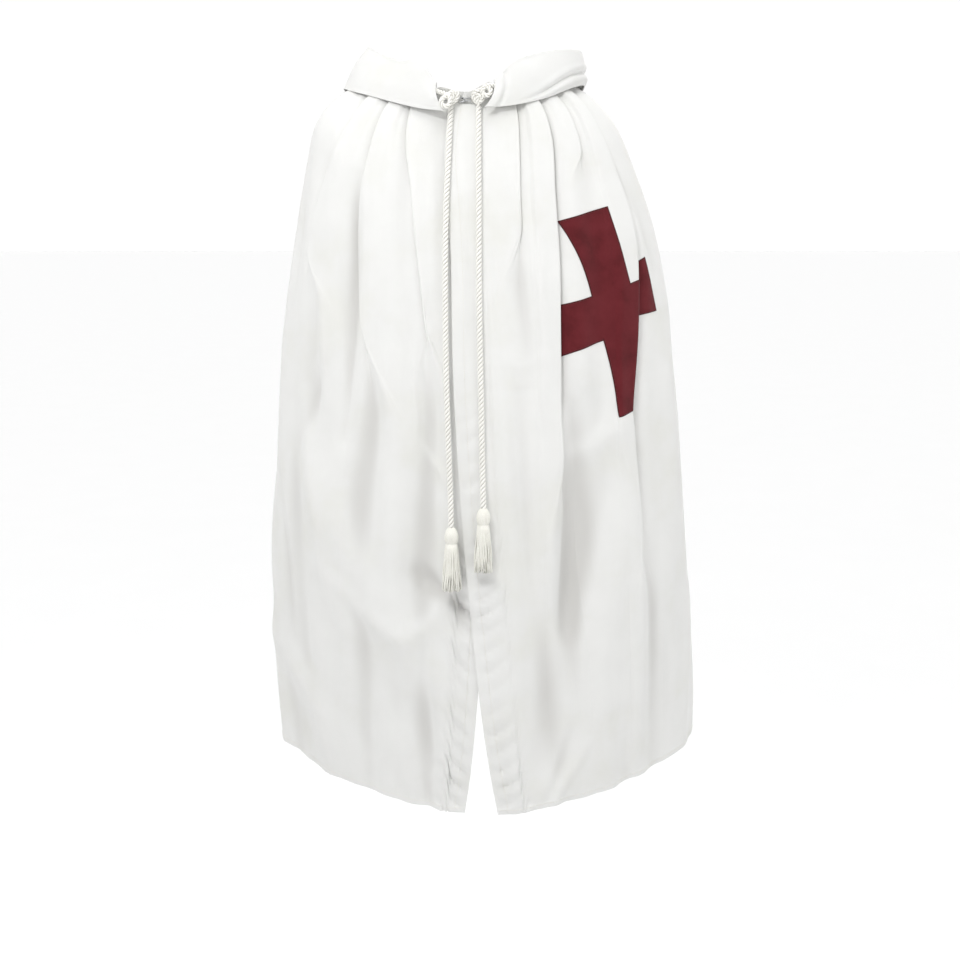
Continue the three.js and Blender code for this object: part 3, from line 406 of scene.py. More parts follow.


# Creases and small ridges laid along short lines. A line's points are (degrees round, ring row).
creases = [
    # width and depth in mm; a depth below zero is a trough
    ("valley beside the outer pleat", [(-57, 3.1), (-54, 4.2), (-53, 5.2), (-54, 6.3)], 13, -11),
    ("deep of the long left valley", [(42, 5.9), (37, 7.0), (32, 8.3)], 30, -17),
    ("puffed cloth under the shoulder", [(-69, 2.4), (-62, 2.9), (-54, 3.4)], 26, 5),
    ("narrow ridge outside the valley", [(-67, 4.5), (-64, 5.3), (-62, 5.9)], 12, 5),
    ("hollow at the elbow", [(-62, 5.5), (-66, 5.9), (-70, 6.4)], 18, -6),
    ("long ridge to the swag", [(-71, 5.9), (-63, 7.0), (-57, 8.1), (-50, 8.5)], 20, 7),
    ("swag", [(-60, 7.8), (-44, 8.2), (-28, 8.45), (-13, 8.1)], 17, 6),
    ("pocket under the front edge", [(-25, 7.7), (-14, 7.9), (-4, 8.2)], 18, -12),
    ("fold into the front edge", [(-14, 8.3), (-8, 8.42), (-3, 8.5)], 7, 4),
    ("low ridge", [(-92, 8.7), (-66, 9.5), (-46, 10.3)], 24, 6),
    ("hollow over the hem", [(-38, 8.7), (-26, 9.4), (-16, 10.3)], 46, -9),
    ("hem hollow one", [(-34, 10.3), (-30, 10.9)], 13, -3),
    ("hem hollow two", [(-22, 10.4), (-19, 11)], 11, -3),
    ("lump on the inner pleat", [(-21.5, 4.9), (-20.5, 5.5)], 8, 4),
    ("hollow under the inner pleat", [(-19.5, 5.5), (-17, 6.2), (-15, 6.8)], 12, -5),
    ("small slanted fold", [(-24, 6.3), (-18, 6.5), (-12, 6.75)], 7, 3.5),
    ("bright spot below the second pleat", [(33.6, 5.9), (32.5, 6.5)], 8, 4),
    ("puffed cloth beside the long valley", [(36, 6.4), (46, 6.35), (55, 6.1)], 17, 4.5),
    ("broad bright fold", [(58, 6.3), (53, 7.4), (45, 8.7)], 26, 5),
    ("crease over the left hem", [(36, 9.9), (30, 10.3), (23, 10.9)], 9, 4),
    ("hollow beside it", [(31, 9.6), (26, 10.2), (20, 10.9)], 10, -3.5),
    ("shade by the left side", [(72, 3.2), (76, 3.8), (77, 4.5)], 13, -4),
    ("first faint mark", [(-3, 5.32), (18, 5.36), (31, 5.3)], 6, 1.2),
    ("second faint mark", [(-5, 5.62), (17, 5.66), (30, 5.6)], 6, -1.2),
    ("left side low ridge", [(84, 8.3), (80, 9.6), (79, 10.9)], 18, 5),
    ("left side hollow", [(70, 8.5), (69, 9.8), (68, 10.9)], 20, -4),
    # the sides and the back, out of the front view
    ("left arm fold", [(96, 4.2), (100, 5.4), (99, 6.8)], 16, 6),
    ("left arm hollow", [(106, 5), (109, 6.4), (107, 8)], 18, -6),
    ("left back swag", [(118, 6.6), (134, 7.1), (150, 6.9)], 18, 5),
    ("left back long hollow", [(128, 7.6), (130, 9.2), (129, 10.8)], 22, -6),
    ("left back ridge", [(142, 7.9), (145, 9.4), (146, 10.9)], 20, 6),
    ("middle back hollow", [(163, 5.2), (165, 7.2), (166, 9.6)], 18, -5),
    ("middle back ridge", [(180, 6.4), (182, 8.6), (181, 10.8)], 24, 6),
    ("right back hollow", [(196, 5.8), (194, 7.9), (195, 10.4)], 19, -6),
    ("right back swag", [(205, 6.2), (219, 6.7), (236, 6.4)], 17, 5),
    ("right back ridge", [(214, 7.6), (212, 9.3), (213, 10.9)], 20, 6),
    ("right back long hollow", [(230, 7.3), (231, 9), (229, 10.8)], 20, -6),
    ("right arm fold", [(262, 3.9), (257, 5.1), (255, 6.6)], 16, 6),
    ("right arm hollow", [(247, 4.6), (246, 6), (248, 7.8)], 18, -6),
    ("back shoulder left", [(150, 1.6), (146, 2.6), (140, 3.6)], 15, 3.5),
    ("back shoulder right", [(208, 1.7), (213, 2.8), (218, 3.9)], 15, 3.5),
    ("right hip fold", [(-93, 6.4), (-87, 7.6), (-82, 8.6)], 15, 5),
    ("right hip hollow", [(-82, 6.9), (-77, 7.9), (-74, 8.8)], 15, -5),
]

# Low waves that any hanging cloth has: whole turns round the wearer, a slant down the cloth, a start, a size
random = np.random.default_rng(5)
waves = [(random.integers(7, 34), random.uniform(-0.012, 0.012), random.uniform(0, 6.28),
          random.uniform(0.25, 0.8)) for _ in range(16)]


def laidDepth(angle, rows):  # the listed creases and the low waves, on a grid of angles with a row each
    height = through(rowHeights, rows)[:, None] + 0 * angle
    depth = np.zeros(angle.shape)
    for _, points, width, deep in creases:
        turns, levels = np.radians([p[0] for p in points]), [p[1] for p in points]
        centre = turns.mean()
        perRadian = float(formFrame(centre, np.mean(levels))[1])
        x = (np.mod(angle - centre + np.pi, 2 * np.pi) - np.pi) * perRadian
        lineX, lineZ = (turns - centre) * perRadian, through(rowHeights, levels)
        run = runLength(np.stack([lineX, lineZ], 1))
        near = (np.abs(x) < np.abs(lineX).max() + 3 * width) & (height < lineZ.max() + 3 * width) & (
            height > lineZ.min() - 3 * width)
        px, pz = x[near], height[near]
        best, place = np.full(px.shape, np.inf), np.zeros(px.shape)
        for k in range(len(points) - 1):
            ax, az, bx, bz = lineX[k], lineZ[k], lineX[k + 1], lineZ[k + 1]
            long = (bx - ax) ** 2 + (bz - az) ** 2
            f = np.clip(((px - ax) * (bx - ax) + (pz - az) * (bz - az)) / long, 0, 1)
            far = np.hypot(px - ax - f * (bx - ax), pz - az - f * (bz - az))
            closer = far < best
            best = np.where(closer, far, best)
            place = np.where(closer, (run[k] + f * (run[k + 1] - run[k])) / run[-1], place)
        taper = np.sin(np.pi * np.clip(0.12 + 0.76 * place, 0, 1)) ** 0.8  # shallower at both ends
        depth[near] += deep * bell(best / width) * taper
    settled = ease(0.3, 4.5, rows)[:, None]  # the pleats hold the cloth still at the top
    for count, slant, start, size in waves:
        depth += settled * size * np.sin(count * angle + slant * height + start)
    return depth


# Cords: each hangs down the front from its loop at the neck to its tassel
cordSettings = {
    "radius": 4.8,
    "lay": 21,  # mm of cord to one whole turn of its three strands
    "start": -39.4,  # the height on the cloth where a cord leaves its loop
    "steps": 30,
    "clear": 8.7,  # from the form out to the cord's middle: the overlap, the cloth, the cord and a little air
    "swing": 9.8,  # a tassel's middle is this much further out than its cord's
}
cords = {  # five places down each: how far to the side it lies and how far further out; its foot's height
    "left": {"across": [20, 20, 21, 24, 27], "extra": [0, 0, 0, 0, 0], "foot": -664},
    "right": {"across": [-24, -31, -31, -27, -21], "extra": [0.3, 0.3, 5, 5.3, 0.3], "foot": -695},
}


def rowAtHeight(angle, height):
    low, high = 0.0, float(hemRow)
    for _ in range(30):
        middle = (low + high) / 2
        if formPoint(angle, middle)[2] > height:
            low = middle
        else:
            high = middle
    return (low + high) / 2


def inFront(x, height, out):  # a point in front of the form at a given x and height
    angle, row = 0.0, 0.0
    for _ in range(14):
        row = rowAtHeight(angle, height)
        angle += (x - formPoint(angle, row)[0]) / formFrame(angle, row)[1]
    return formPoint(angle, row) + formFrame(angle, row)[0] * (out + softDepth(angle, row))


def cordLine(cord, settings):
    points = []
    for f in np.linspace(0, 1, settings["steps"] + 1):
        swing = settings["swing"] * ease(0.88, 1, f) + through(cord["extra"], 4 * f)
        height = mix(settings["start"], cord["foot"], f)
        points.append(inFront(through(cord["across"], 4 * f), height, settings["clear"] + swing))
    return np.array(points)


def denser(points, step):  # the same line with a point every `step` millimetres
    places = np.linspace(0, len(points) - 1, 10 * len(points))
    curve = np.stack([through(points[:, k], places) for k in range(3)], axis=1)
    run = runLength(curve)
    count = max(int(round(run[-1] / step)), 2) + 1
    at = np.linspace(0, run[-1], count)
    return np.stack([np.interp(at, run, curve[:, k]) for k in range(3)], axis=1)


def ropeStrands(line, radius, lay, sides=8):  # three strands laid round each other, to the right as they rise
    strandRadius = radius / 2.155  # so that three touch and fill the cord
    run = runLength(line)
    tangent = unit(np.gradient(line, axis=0))
    side = unit(np.cross(tangent[0], [0.9, 0.3, 0.2]))
    carried = []
    for t in tangent:
        side = unit(side - t * np.dot(side, t))
        carried.append(side)
    carried = np.array(carried)
    other = np.cross(tangent, carried)
    strands = []
    for start in (0, 2 * np.pi / 3, 4 * np.pi / 3):
        a = 2 * np.pi * run / lay + start
        reach = np.cos(a)[:, None] * carried + np.sin(a)[:, None] * other
        strands.append(tubeRings(line + (radius - strandRadius) * reach, strandRadius, sides))
    return strands


def grooveShade(strands, line, radius):  # 1 where a strand lies near the rope's middle, 0 on its outside: how much painted shade it gets
    return np.concatenate([ease(0.86, 0.6, np.linalg.norm(strand - line[:, None], axis=-1) / radius).ravel()
                           for strand in strands])


def makeRope(name, line, settings, node, sides=8):
    strands = ropeStrands(line, settings["radius"], settings["lay"], sides)
    return makeTubes(name, strands, cordYarn, [node], grooveShade(strands, line, settings["radius"]))


cordLines = {name: denser(cordLine(cord, cordSettings), 1.4) for name, cord in cords.items()}
cordPieces = {name: makeRope(f"{name}_hanging_cord", line, cordSettings, f"{name}_cord")
              for name, line in cordLines.items()}
print("cords made")

# Tassels: a bound head on the cord's end and a skirt of cut yarn
tasselSettings = {
    "length": 94,
    "drop": 0.6,
    "headRibs": 34,
    "headProfile": [(4.6, 8.6), (5.6, 7.2), (7.6, 4), (9.2, -0.4), (10, -5), (9.8, -9.5), (8.8, -13.5),
                    (8.2, -15.5)],
    "binding": {"radius": 8.4, "top": -14.5, "foot": -19, "turns": 5, "thread": 0.85},
    "strands": 156,
    "bundles": 17,  # the strands cling together in this many
    "yarn": 1.1,  # radius of one strand
    "rootRadii": (8.3, 6.6, 4.6),  # the skirt's strands stand in three rings
    "footRadii": (11.9, 9.8, 6.4),
    # painted shade: the inner rings of the skirt are greyer, where less light reaches them
    "ringShades": (0.0, 0.45, 0.9),
    "spread": 1.16,  # the skirt is pressed against the cloth, so it is wider than it is deep
}


def makeTassel(name, settings, seed):
    random = np.random.default_rng(seed)
    tubes, shades = [], []
    # The head: yarn laid over a core, so it is ribbed from its top to the binding
    radius, height = np.array(settings["headProfile"], float).T
    for k in range(settings["headRibs"]):
        turn = 2 * np.pi * k / settings["headRibs"] + random.normal(0, 0.02)
        lift = 1 + random.normal(0, 0.012)
        line = np.stack([radius * lift * np.cos(turn), radius * lift * np.sin(turn), height], 1)
        tubes.append(tubeRings(line, np.clip(radius * 0.115, 0.3, 1.05), 6))
        shades.append(0.0)
    core = np.array([[0, 0, z] for z in (6.5, 4, -3, -11, -20, -30)])
    tubes.append(tubeRings(core, [4.8, 6.6, 8.9, 8.6, 7.6, 6], 20))
    # the core under the ribs gets strong painted shade
    shades.append(0.8)
    # The binding: thread wound round the neck of the tassel
    wound = settings["binding"]
    turn = np.linspace(0, 2 * np.pi * wound["turns"], 30 * wound["turns"])
    height = np.linspace(wound["top"], wound["foot"], len(turn))
    line = np.stack([wound["radius"] * np.cos(turn), wound["radius"] * np.sin(turn), height], 1)
    tubes.append(tubeRings(line, wound["thread"], 6))
    shades.append(0.1)
    # The skirt: strands in loose bundles, a little uneven in length
    f = np.linspace(0, 1, 9)
    wide = mix(1, settings["spread"], ease(0.1, 0.8, f))
    for k in range(settings["strands"]):
        ring = k % 3
        turn = 2 * np.pi * (k + 0.5 * ring) / settings["strands"]
        bundle = round(turn / (2 * np.pi) * settings["bundles"]) * 2 * np.pi / settings["bundles"]
        settled = turn + 0.22 * (bundle - turn) + random.normal(0, 0.05)
        foot = settings["footRadii"][ring] * (1 + random.normal(0, 0.05))
        length = settings["length"] - abs(random.normal(0, 4.2)) - 1.2
        wave = random.uniform(0.5, 1.5)
        start = random.uniform(0, 6.3)
        reach = mix(settings["rootRadii"][ring], foot, f**0.5) + wave * np.sin(start + 5.5 * f) * f
        around = mix(turn, settled, f**0.7) + 0.11 * np.sin(2 * start + 6.5 * f) * f
        line = np.stack([wide * reach * np.cos(around), reach * np.sin(around), mix(-17, -length, f)], 1)
        tubes.append(tubeRings(line, settings["yarn"] * mix(1.0, 0.85, f), 4))
        shades.append(settings["ringShades"][ring])
    # Turned to hang down along the cloth from the cord's end
    end = cordLines[name][-1]
    below = unit(inFront(end[0], end[2] - settings["length"], 0) - inFront(end[0], end[2], 0))
    turnTo = np.array(Vector((0, 0, -1)).rotation_difference(Vector(below)).to_matrix())
    top = end + below * settings["drop"]
    groove = np.concatenate([np.full(tube[..., 0].size, shade) for tube, shade in zip(tubes, shades)])
    return makeTubes(f"{name}_yarn_tassel", [tube @ turnTo.T + top for tube in tubes], tasselYarn,
                     [f"{name}_tassel"], groove)


for seed, (name, line) in enumerate(cordLines.items()):
    makeTassel(name, tasselSettings, seed)
print("tassels made")

# Panels: the cape is three panels, each pleated into the neck
neckPitch = 1.9  # from one layer of a pleat to the next, where it is sewn down
overlapLift = 2.3  # the left front stands this far out where the fronts overlap, the right front this far in
seamGap = 0.6
topEdge = [-14, -13, -11.6, -3.9, 3.2]  # the left front's edge, in degrees at five even rows
underEdge = [11, 10, 6, -0.5, -7.6]  # the right front's edge


def pleat(neck, shoulder, chest, waist, shut, opened, lap, ridge, hemRidge, pitch=3.2):
    # Its line's angle at four levels, the rows where it starts to open and lies open, how wide it is folded,
    # and how high it stands there and at the hem
    return {"line": [neck, shoulder, chest, waist], "shut": shut, "open": opened, "lap": lap, "ridge": ridge,
            "hemRidge": hemRidge, "pitch": pitch}


def mirroredPleat(p):
    return {**p, "line": [360 - angle for angle in p["line"]]}


leftPleats = [
    pleat(43, 36, 24, 19, 2.4, 4.6, 20, 5, 1),
    pleat(54, 52, 40, 32.5, 5.5, 7.4, 45, 7, 1, 5.6),
    pleat(64, 63, 55, 50, 1.9, 3.2, 16, 3, 1),
    pleat(74, 72, 69.5, 59, 6.1, 8.4, 36, 8, 3, 5.6),
    pleat(85, 85, 87, 86, 3, 6, 18, 5, 2),
]
backLeftPleats = [
    pleat(98, 101, 104, 104, 3, 6.5, 22, 8, 5),
    pleat(114, 118, 120, 121, 3.6, 7.5, 24, 10, 7),
    pleat(132, 135, 138, 138, 3.2, 7, 24, 9, 6),
    pleat(152, 154, 157, 158, 4, 8, 26, 11, 8),
]
rightPleats = [
    pleat(-86, -86, -90, -91, 3, 6, 18, 5, 2),
    pleat(-66, -65, -73, -74, 3.2, 5, 20, 6, 2),
    pleat(-54, -53, -54.5, -43, 3.6, 6.4, 26, 10, 1),
    pleat(-43, -37, -29, -18, 4.2, 5.6, 24, 7, 1),
]
leftSeam = [91.5, 93, 95.5, 95]
rightSeam = [-91.5, -93.5, -97, -97.5]


def lineAngle(line, row):  # a pleat's or seam's four angles stand at rows 0, 2, 4 and 6
    return math.radians(float(through(line, row / 2)))


def edgeAngle(edge, row):
    return math.radians(float(through(edge, row / (hemRow / (len(edge) - 1)))))


def seamAngle(line, row, shift):
    angle = lineAngle(line, row)
    return angle + shift / float(formFrame(angle, row)[1])


def pleatOffset(p, lean, u, row, before, after):  # the way along the form and out from it, at u from 0 to 5
    turned = 5 - u if lean < 0 else u
    low, high = (after, before) if lean < 0 else (before, after)
    pitch = mix(neckPitch, p["pitch"], float(ease(0, 1, row)))
    release = (p["shut"] + p["open"]) / 2
    # the fold first narrows to nothing, then lies open as a soft ridge and hollow
    lap = min(p["lap"] * (1 - float(ease(p["shut"], release, row))), 0.8 * low)
    openness = float(ease(release, p["open"], row))
    straight = max((lap - pitch) / 2, 0.5)
    edge = straight + pitch / 2
    # five zones: the cloth before the fold and its top layer, the first bend, the layer that goes back,
    # the second bend, and the bottom layer with the cloth after it
    zone = np.minimum(np.floor(turned).astype(int), 4)
    f = turned - zone
    s, c = np.sin(np.pi * f), np.cos(np.pi * f)
    first = f < 0.5
    along = np.select([zone == 0, zone == 1, zone == 2, zone == 3], [
        np.where(first, mix(edge - low, -straight, 2 * f), mix(-straight, straight, 2 * f - 1)),
        straight + pitch / 2 * s,
        mix(straight, -straight, f),
        -straight - pitch / 2 * s,
    ], np.where(first, mix(-straight, straight, 2 * f), mix(straight, edge + high, 2 * f - 1))) - edge
    out = np.select([zone == 0, zone == 1, zone == 2, zone == 3], [
        pitch * ease(0, 0.5, f),
        pitch / 2 * (1 + c),
        0 * f,
        -pitch / 2 * (1 - c),
    ], -pitch * (1 - ease(0.5, 1, f)))
    ridge = mix(p["ridge"], p["hemRidge"], float(ease(p["open"], hemRow, row))) * openness
    flat = mix(-low, high, turned / 5)
    return lean * mix(along, flat, openness), mix(out, 0, openness) + ridge * np.sin(2 * np.pi * turned / 5)


def panelBays(pleats, leans, start, end, plain=None):
    # One bay for each pleat, each from one angle to another at any row, and a plain strip at a front edge
    def parting(k):
        a, b = pleats[k], pleats[k + 1]
        share = 0.5 - 0.1 * (leans[k] + leans[k + 1])
        return lambda row: mix(lineAngle(a["line"], row), lineAngle(b["line"], row), share)

    bounds = [start] + [parting(k) for k in range(len(pleats) - 1)] + [end]
    if plain == "first":
        bounds[0] = lambda row: mix(start(row), lineAngle(pleats[0]["line"], row), 0.5)
    if plain == "last":
        bounds[-1] = lambda row: min(mix(lineAngle(pleats[-1]["line"], row), end(row), 0.5),
                                     edgeAngle(topEdge, row) - math.radians(1.5))
    bays = [(p, lean, bounds[k], bounds[k + 1]) for k, (p, lean) in enumerate(zip(pleats, leans))]
    if plain == "first":
        bays.insert(0, (None, 1, start, bounds[0]))
    if plain == "last":
        bays.append((None, 1, bounds[-1], end))
    return bays


# Sewing shows as a low step where the cloth is turned, a stitched groove, and puckers or a gentle roll, in mm
facing = {"width": 20, "stitchLine": 18.2, "step": 0.7, "groove": 0.8, "pucker": 3.3, "puckerSpacing": 31,
          "puckerIn": 14, "puckerOut": 34}
hem = {"width": 9, "stitchLine": 7.4, "step": 0.7, "groove": 0.5, "roll": 0.45, "rollSpacing": 26,
       "rollReach": 16}
seam = {"groove": 1.1, "width": 2.6, "ripple": 0.25, "rippleSpacing": 11, "rippleReach": 7}
panelSettings = {
    "rows": 176,
    "hemRows": (14, 11, 10, 9, 8, 6.5, 3, 0.8, 0),  # mm above the hem
    "pleatStops": (13, 7, 8, 7, 13),  # columns in each part of a pleat's section
    "plainStops": 12,
    "leastStrip": 42,  # mm; a narrower strip squeezes its facing
    "facingStops": [0, 0.8, 3, 8, 14, 17.2, 18.6, 19.6, 20.6, 22, 26],  # mm from a front edge
}


def stopsIn(counts):
    return np.concatenate([k + np.arange(n) / n for k, n in enumerate(counts)]) / 5


def rowPlaces(settings):  # evenly spaced down the front, with a few more at the hem
    fine = np.linspace(0, hemRow, 1200)
    height = -through(rings[:, 3], fine) - through(rings[:, 4], fine)
    atHem = [(height[-1] / 2 - back) for back in settings["hemRows"]]
    even = np.linspace(height[0] / 2, height[-1] / 2 - 19, settings["rows"] - len(atHem))
    return np.interp(np.concatenate([even, atHem]), height / 2, fine)


panelRows = rowPlaces(panelSettings)


def hollowShare(angle, out):  # how deep each point lies below the folds round it, from 0 to 1: the amount of painted shade in the hollows
    # The cloth's outermost reach at each row and degree, blurred, is the level that a hollow is measured from
    bins = np.floor(np.degrees(angle)).astype(int)
    bins -= bins.min()
    degrees = np.arange(bins.max() + 1)
    outline = np.full((len(out), len(degrees)), -np.inf)
    np.maximum.at(outline, (np.arange(len(out))[:, None] + 0 * bins, bins), out)
    for line in outline:
        seen = np.isfinite(line)
        line[:] = np.interp(degrees, degrees[seen], line[seen])
    for axis, reach in ((1, 11), (0, 9)):  # degrees round, then rows down
        weights = bell(np.arange(-3 * reach, 3 * reach + 1) / (1.41 * reach))
        weights /= weights.sum()
        outline = np.apply_along_axis(
            lambda v: np.convolve(np.pad(v, 3 * reach, mode="edge"), weights, "valid"), axis, outline)
    level = np.take_along_axis(outline, bins, axis=1)
    return ease(-1.0, -13, out - level)  # 13 mm down is a full hollow


def buildPanel(bays, lift, edges, plain=None, counts=panelSettings["pleatStops"]):
    inPleat = stopsIn(counts)
    angle, out = [], []
    for row in panelRows:
        angles, outs = [], []
        for k, (p, lean, start, end) in enumerate(bays):
            a, b = start(row), end(row)
            final = k == len(bays) - 1
            if p is None:
                width = abs(b - a) * float(formFrame((a + b) / 2, row)[1])
                marks = np.array(panelSettings["facingStops"]) / max(width, panelSettings["leastStrip"])
                f = np.concatenate([marks, np.linspace(marks[-1], 1, panelSettings["plainStops"])[1:-1]])
                if final:
                    f = np.concatenate([[0], 1 - f[::-1]])
                angles.append(mix(a, b, f))
                outs.append(np.full(len(f), float(lift)))
                continue
            f = inPleat if lean > 0 else np.concatenate([[0], 1 - inPleat[::-1][:-1]])
            if final:
                f = np.append(f, 1 - 1e-9)
            line = lineAngle(p["line"], row)
            perRadian = float(formFrame(line, row)[1])
            along, rise = pleatOffset(p, lean, 5 * f, row, (line - a) * perRadian, (b - line) * perRadian)
            if plain == "first" and k == 1:
                rise = rise + lift * (1 - ease(0, 1, 5 * f))
            if plain == "last" and k == len(bays) - 2:
                rise = rise + lift * ease(0, 1, 5 * f - 4)
            angles.append(line + along / perRadian)
            outs.append(rise)
        angle.append(np.concatenate(angles))
        out.append(np.concatenate(outs))
    angle, out = np.array(angle), np.array(out)
    laid = laidDepth(angle, panelRows)
    middle = np.empty(angle.shape + (3,))
    for j, row in enumerate(panelRows):
        bare = formPoint(angle[j], row)
        # nothing may rise into the two cords that hang in front, down to their tassels
        underCords = sum(bell((bare[:, 0] - x) / 13) for x in cordAcross) * ease(-720, -680, bare[:, 2])
        hold = np.clip(1 - underCords * (np.cos(angle[j]) > 0.3), 0, 1)
        out[j] = out[j] + softDepth(angle[j], row) + (np.maximum(laid[j], 0) * hold + np.minimum(laid[j], 0))
        middle[j] = bare + formFrame(angle[j], row)[0] * out[j][:, None]
    sewn, fromEdge = sewnDepth(middle, edges)
    return middle + gridNormals(middle) * sewn[..., None], fromEdge, hollowShare(angle, out)


def sewnDepth(middle, edges):
    # What the sewing does: turned facings and hem, their stitch lines, and the puckers along them
    across, down = runs(middle)
    fromHem = down[-1] - down
    fromFirst, fromLast = across, across[:, -1:] - across
    depth = np.zeros(across.shape)
    low = ease(300, 900, down)  # the facing is flat at the neck and puckers towards the hem
    nearest = fromHem.copy()
    for side, kind in edges:
        d = fromFirst if side == "first" else fromLast
        nearest = np.minimum(nearest, d)
        if kind == "facing":
            depth += facing["step"] * (1 - ease(facing["width"] - 0.8, facing["width"] + 0.8, d))
            depth -= facing["groove"] * bell((d - facing["stitchLine"]) / 1.1)
            uneven = 0.6 + 0.4 * np.sin(down / 47) * np.sin(down / 23 + 1)
            turns = 2 * np.pi * (down + 0.5 * d) / facing["puckerSpacing"] + 1.3 * np.sin(down / 61)
            pucker = np.sin(turns) + 0.35 * np.sin(2 * turns + 0.8)
            reach = np.where(d < facing["width"], facing["puckerIn"], facing["puckerOut"])
            depth += pucker * uneven * mix(0.25, facing["pucker"], low) * bell((d - facing["width"]) / reach)
        else:
            depth -= seam["groove"] * bell(d / seam["width"])
            ripple = np.sin(2 * np.pi * down / seam["rippleSpacing"] + np.sin(down / 40))
            depth += seam["ripple"] * ripple * bell((d - 5) / seam["rippleReach"])
    depth += hem["step"] * (1 - ease(hem["width"] - 0.7, hem["width"] + 0.7, fromHem))
    depth -= hem["groove"] * bell((fromHem - hem["stitchLine"]) / 0.9)
    roll = np.sin(2 * np.pi * across / hem["rollSpacing"] + 1.1 * np.sin(across / 53) + fromHem / 9)
    roll = roll * (0.55 + 0.45 * np.sin(across / 71))
    depth += hem["roll"] * roll * bell((fromHem - hem["width"]) / hem["rollReach"])
    return depth, nearest


def runs(middle):  # how far along its row and down its column each point of a grid is
    across = np.linalg.norm(np.diff(middle, axis=1), axis=-1)
    down = np.linalg.norm(np.diff(middle, axis=0), axis=-1)
    return (np.pad(np.cumsum(across, axis=1), ((0, 0), (1, 0))),
            np.pad(np.cumsum(down, axis=0), ((1, 0), (0, 0))))


def flatCloth(middle, originColumn=0, originRow=0):
    # Where each point lies on the flat cloth: level steps along its row, and the way down the line through
    # the origin, corrected by how far the row rises or falls
    level = np.linalg.norm(np.diff(middle[..., :2], axis=1), axis=-1)
    across = np.pad(np.cumsum(level, axis=1), ((0, 0), (1, 0)))
    across = across - across[:, originColumn:originColumn + 1]
    down = runLength(middle[:, originColumn])
    down = down - down[originRow]
    rise = middle[..., 2] - middle[:, originColumn:originColumn + 1, 2]
    return np.stack([across, rise - down[:, None]], axis=-1)


cordAcross = [20, 22, 26, -24, -31, -27]  # where the two cords lie, in mm from the middle
panels = {
    "left": {
        "bays": panelBays(leftPleats, [1] * 5, lambda row: edgeAngle(topEdge, row),
                          lambda row: seamAngle(leftSeam, row, -seamGap / 2), "first"),
        "lift": overlapLift, "plain": "first", "edges": [("first", "facing"), ("last", "seam")]},
    "back": {
        "bays": panelBays(backLeftPleats + [mirroredPleat(p) for p in reversed(backLeftPleats)],
                          [1] * 4 + [-1] * 4, lambda row: seamAngle(leftSeam, row, seamGap / 2),
                          lambda row: seamAngle([360 + a for a in rightSeam], row, -seamGap / 2)),
        "lift": 0, "counts": (9, 5, 6, 5, 8), "edges": [("first", "seam"), ("last", "seam")]},
    "right": {
        "bays": panelBays(rightPleats, [-1] * 4, lambda row: seamAngle(rightSeam, row, seamGap / 2),
                          lambda row: edgeAngle(underEdge, row), "last"),
        "lift": -overlapLift, "plain": "last", "edges": [("first", "seam"), ("last", "facing")]},
}
built, panelPieces = {}, {}
for name, panel in panels.items():
    middle, fromEdge, hollow = buildPanel(**panel)
    built[name] = middle
    node = "back" if name == "back" else f"{name}_front"
    half = clothWall / 2 * (0.5 + 0.5 * ease(0, 1.0, fromEdge))  # rounded where the cloth is turned
    # the cloth's colour is greyed in its hollows, a painted shade
    panelPieces[name] = makeCloth(f"{node}_cloth", middle, node, flatCloth(middle), half,
                                  {"paintedFoldShade": np.tile(hollow.ravel(), 2)})
    width, length = runs(middle)
    print(f"{node}: {width[0, -1]:.0f} to {width[-1, -1]:.0f} mm wide, "
          f"{length[-1, 0]:.0f} to {length[-1, -1]:.0f} mm long")
print("panels made")

# The red cross: drawn on the flat cloth and laid over the pleats of the left front
crossSettings = {
    "span": 326,
    "waist": 74,  # an arm's width where it leaves the middle
    "flare": 92,
    "flarePower": 2.2,
    "bay": 4,  # set out from the start of this bay, at this row: so far outward and below, and turned
    "row": 4.6,
    "outward": 7.5,
    "below": 34,
    "tilt": 15,
    "turnedEdge": 2.4,
    "under": clothWall / 2 + 0.25,
    "over": clothWall / 2 + 1.15,
}


def armWidth(f, settings):
    return mix(settings["waist"], settings["flare"], f ** settings["flarePower"]) / 2


def crossPieces(settings):  # convex pieces: a square, and strips of each arm with its turned edges apart
    half, waist, turned = settings["span"] / 2, settings["waist"] / 2, settings["turnedEdge"]
    pieces = [[(-waist, -waist), (waist, -waist), (waist, waist), (-waist, waist)]]
    stops = np.append(np.linspace(0, 1, 8)[:-1], [(half - turned - waist) / (half - waist), 1])
    for arm in range(4):
        c, s = [(1, 0), (0, 1), (-1, 0), (0, -1)][arm]
        for f, g in zip(stops[:-1], stops[1:]):
            near, far = mix(waist, half, f), mix(waist, half, g)
            w, v = armWidth(f, settings), armWidth(g, settings)
            for a, b, e, h in ((-w, -w + turned, -v, -v + turned),
                               (-w + turned, w - turned, -v + turned, v - turned),
                               (w - turned, w, v - turned, v)):
                corners = [(near, a), (far, e), (far, h), (near, b)]
                pieces.append([(c * x - s * y, s * x + c * y) for x, y in corners])
    return pieces


def fromCrossEdge(x, y, settings):  # how far inside the outline, in widths of the turned edge, up to 1
    half, waist = settings["span"] / 2, settings["waist"] / 2
    along, across = max(abs(x), abs(y)), min(abs(x), abs(y))
    if along <= waist:
        return min(1.0, math.hypot(waist - across, waist - along) / settings["turnedEdge"])
    f = min((along - waist) / (half - waist), 1)
    return float(np.clip(min(armWidth(f, settings) - across, half - along) / settings["turnedEdge"], 0, 1))


def areaOf(a, b, c):
    return (b[0] - a[0]) * (c[1] - a[1]) - (b[1] - a[1]) * (c[0] - a[0])


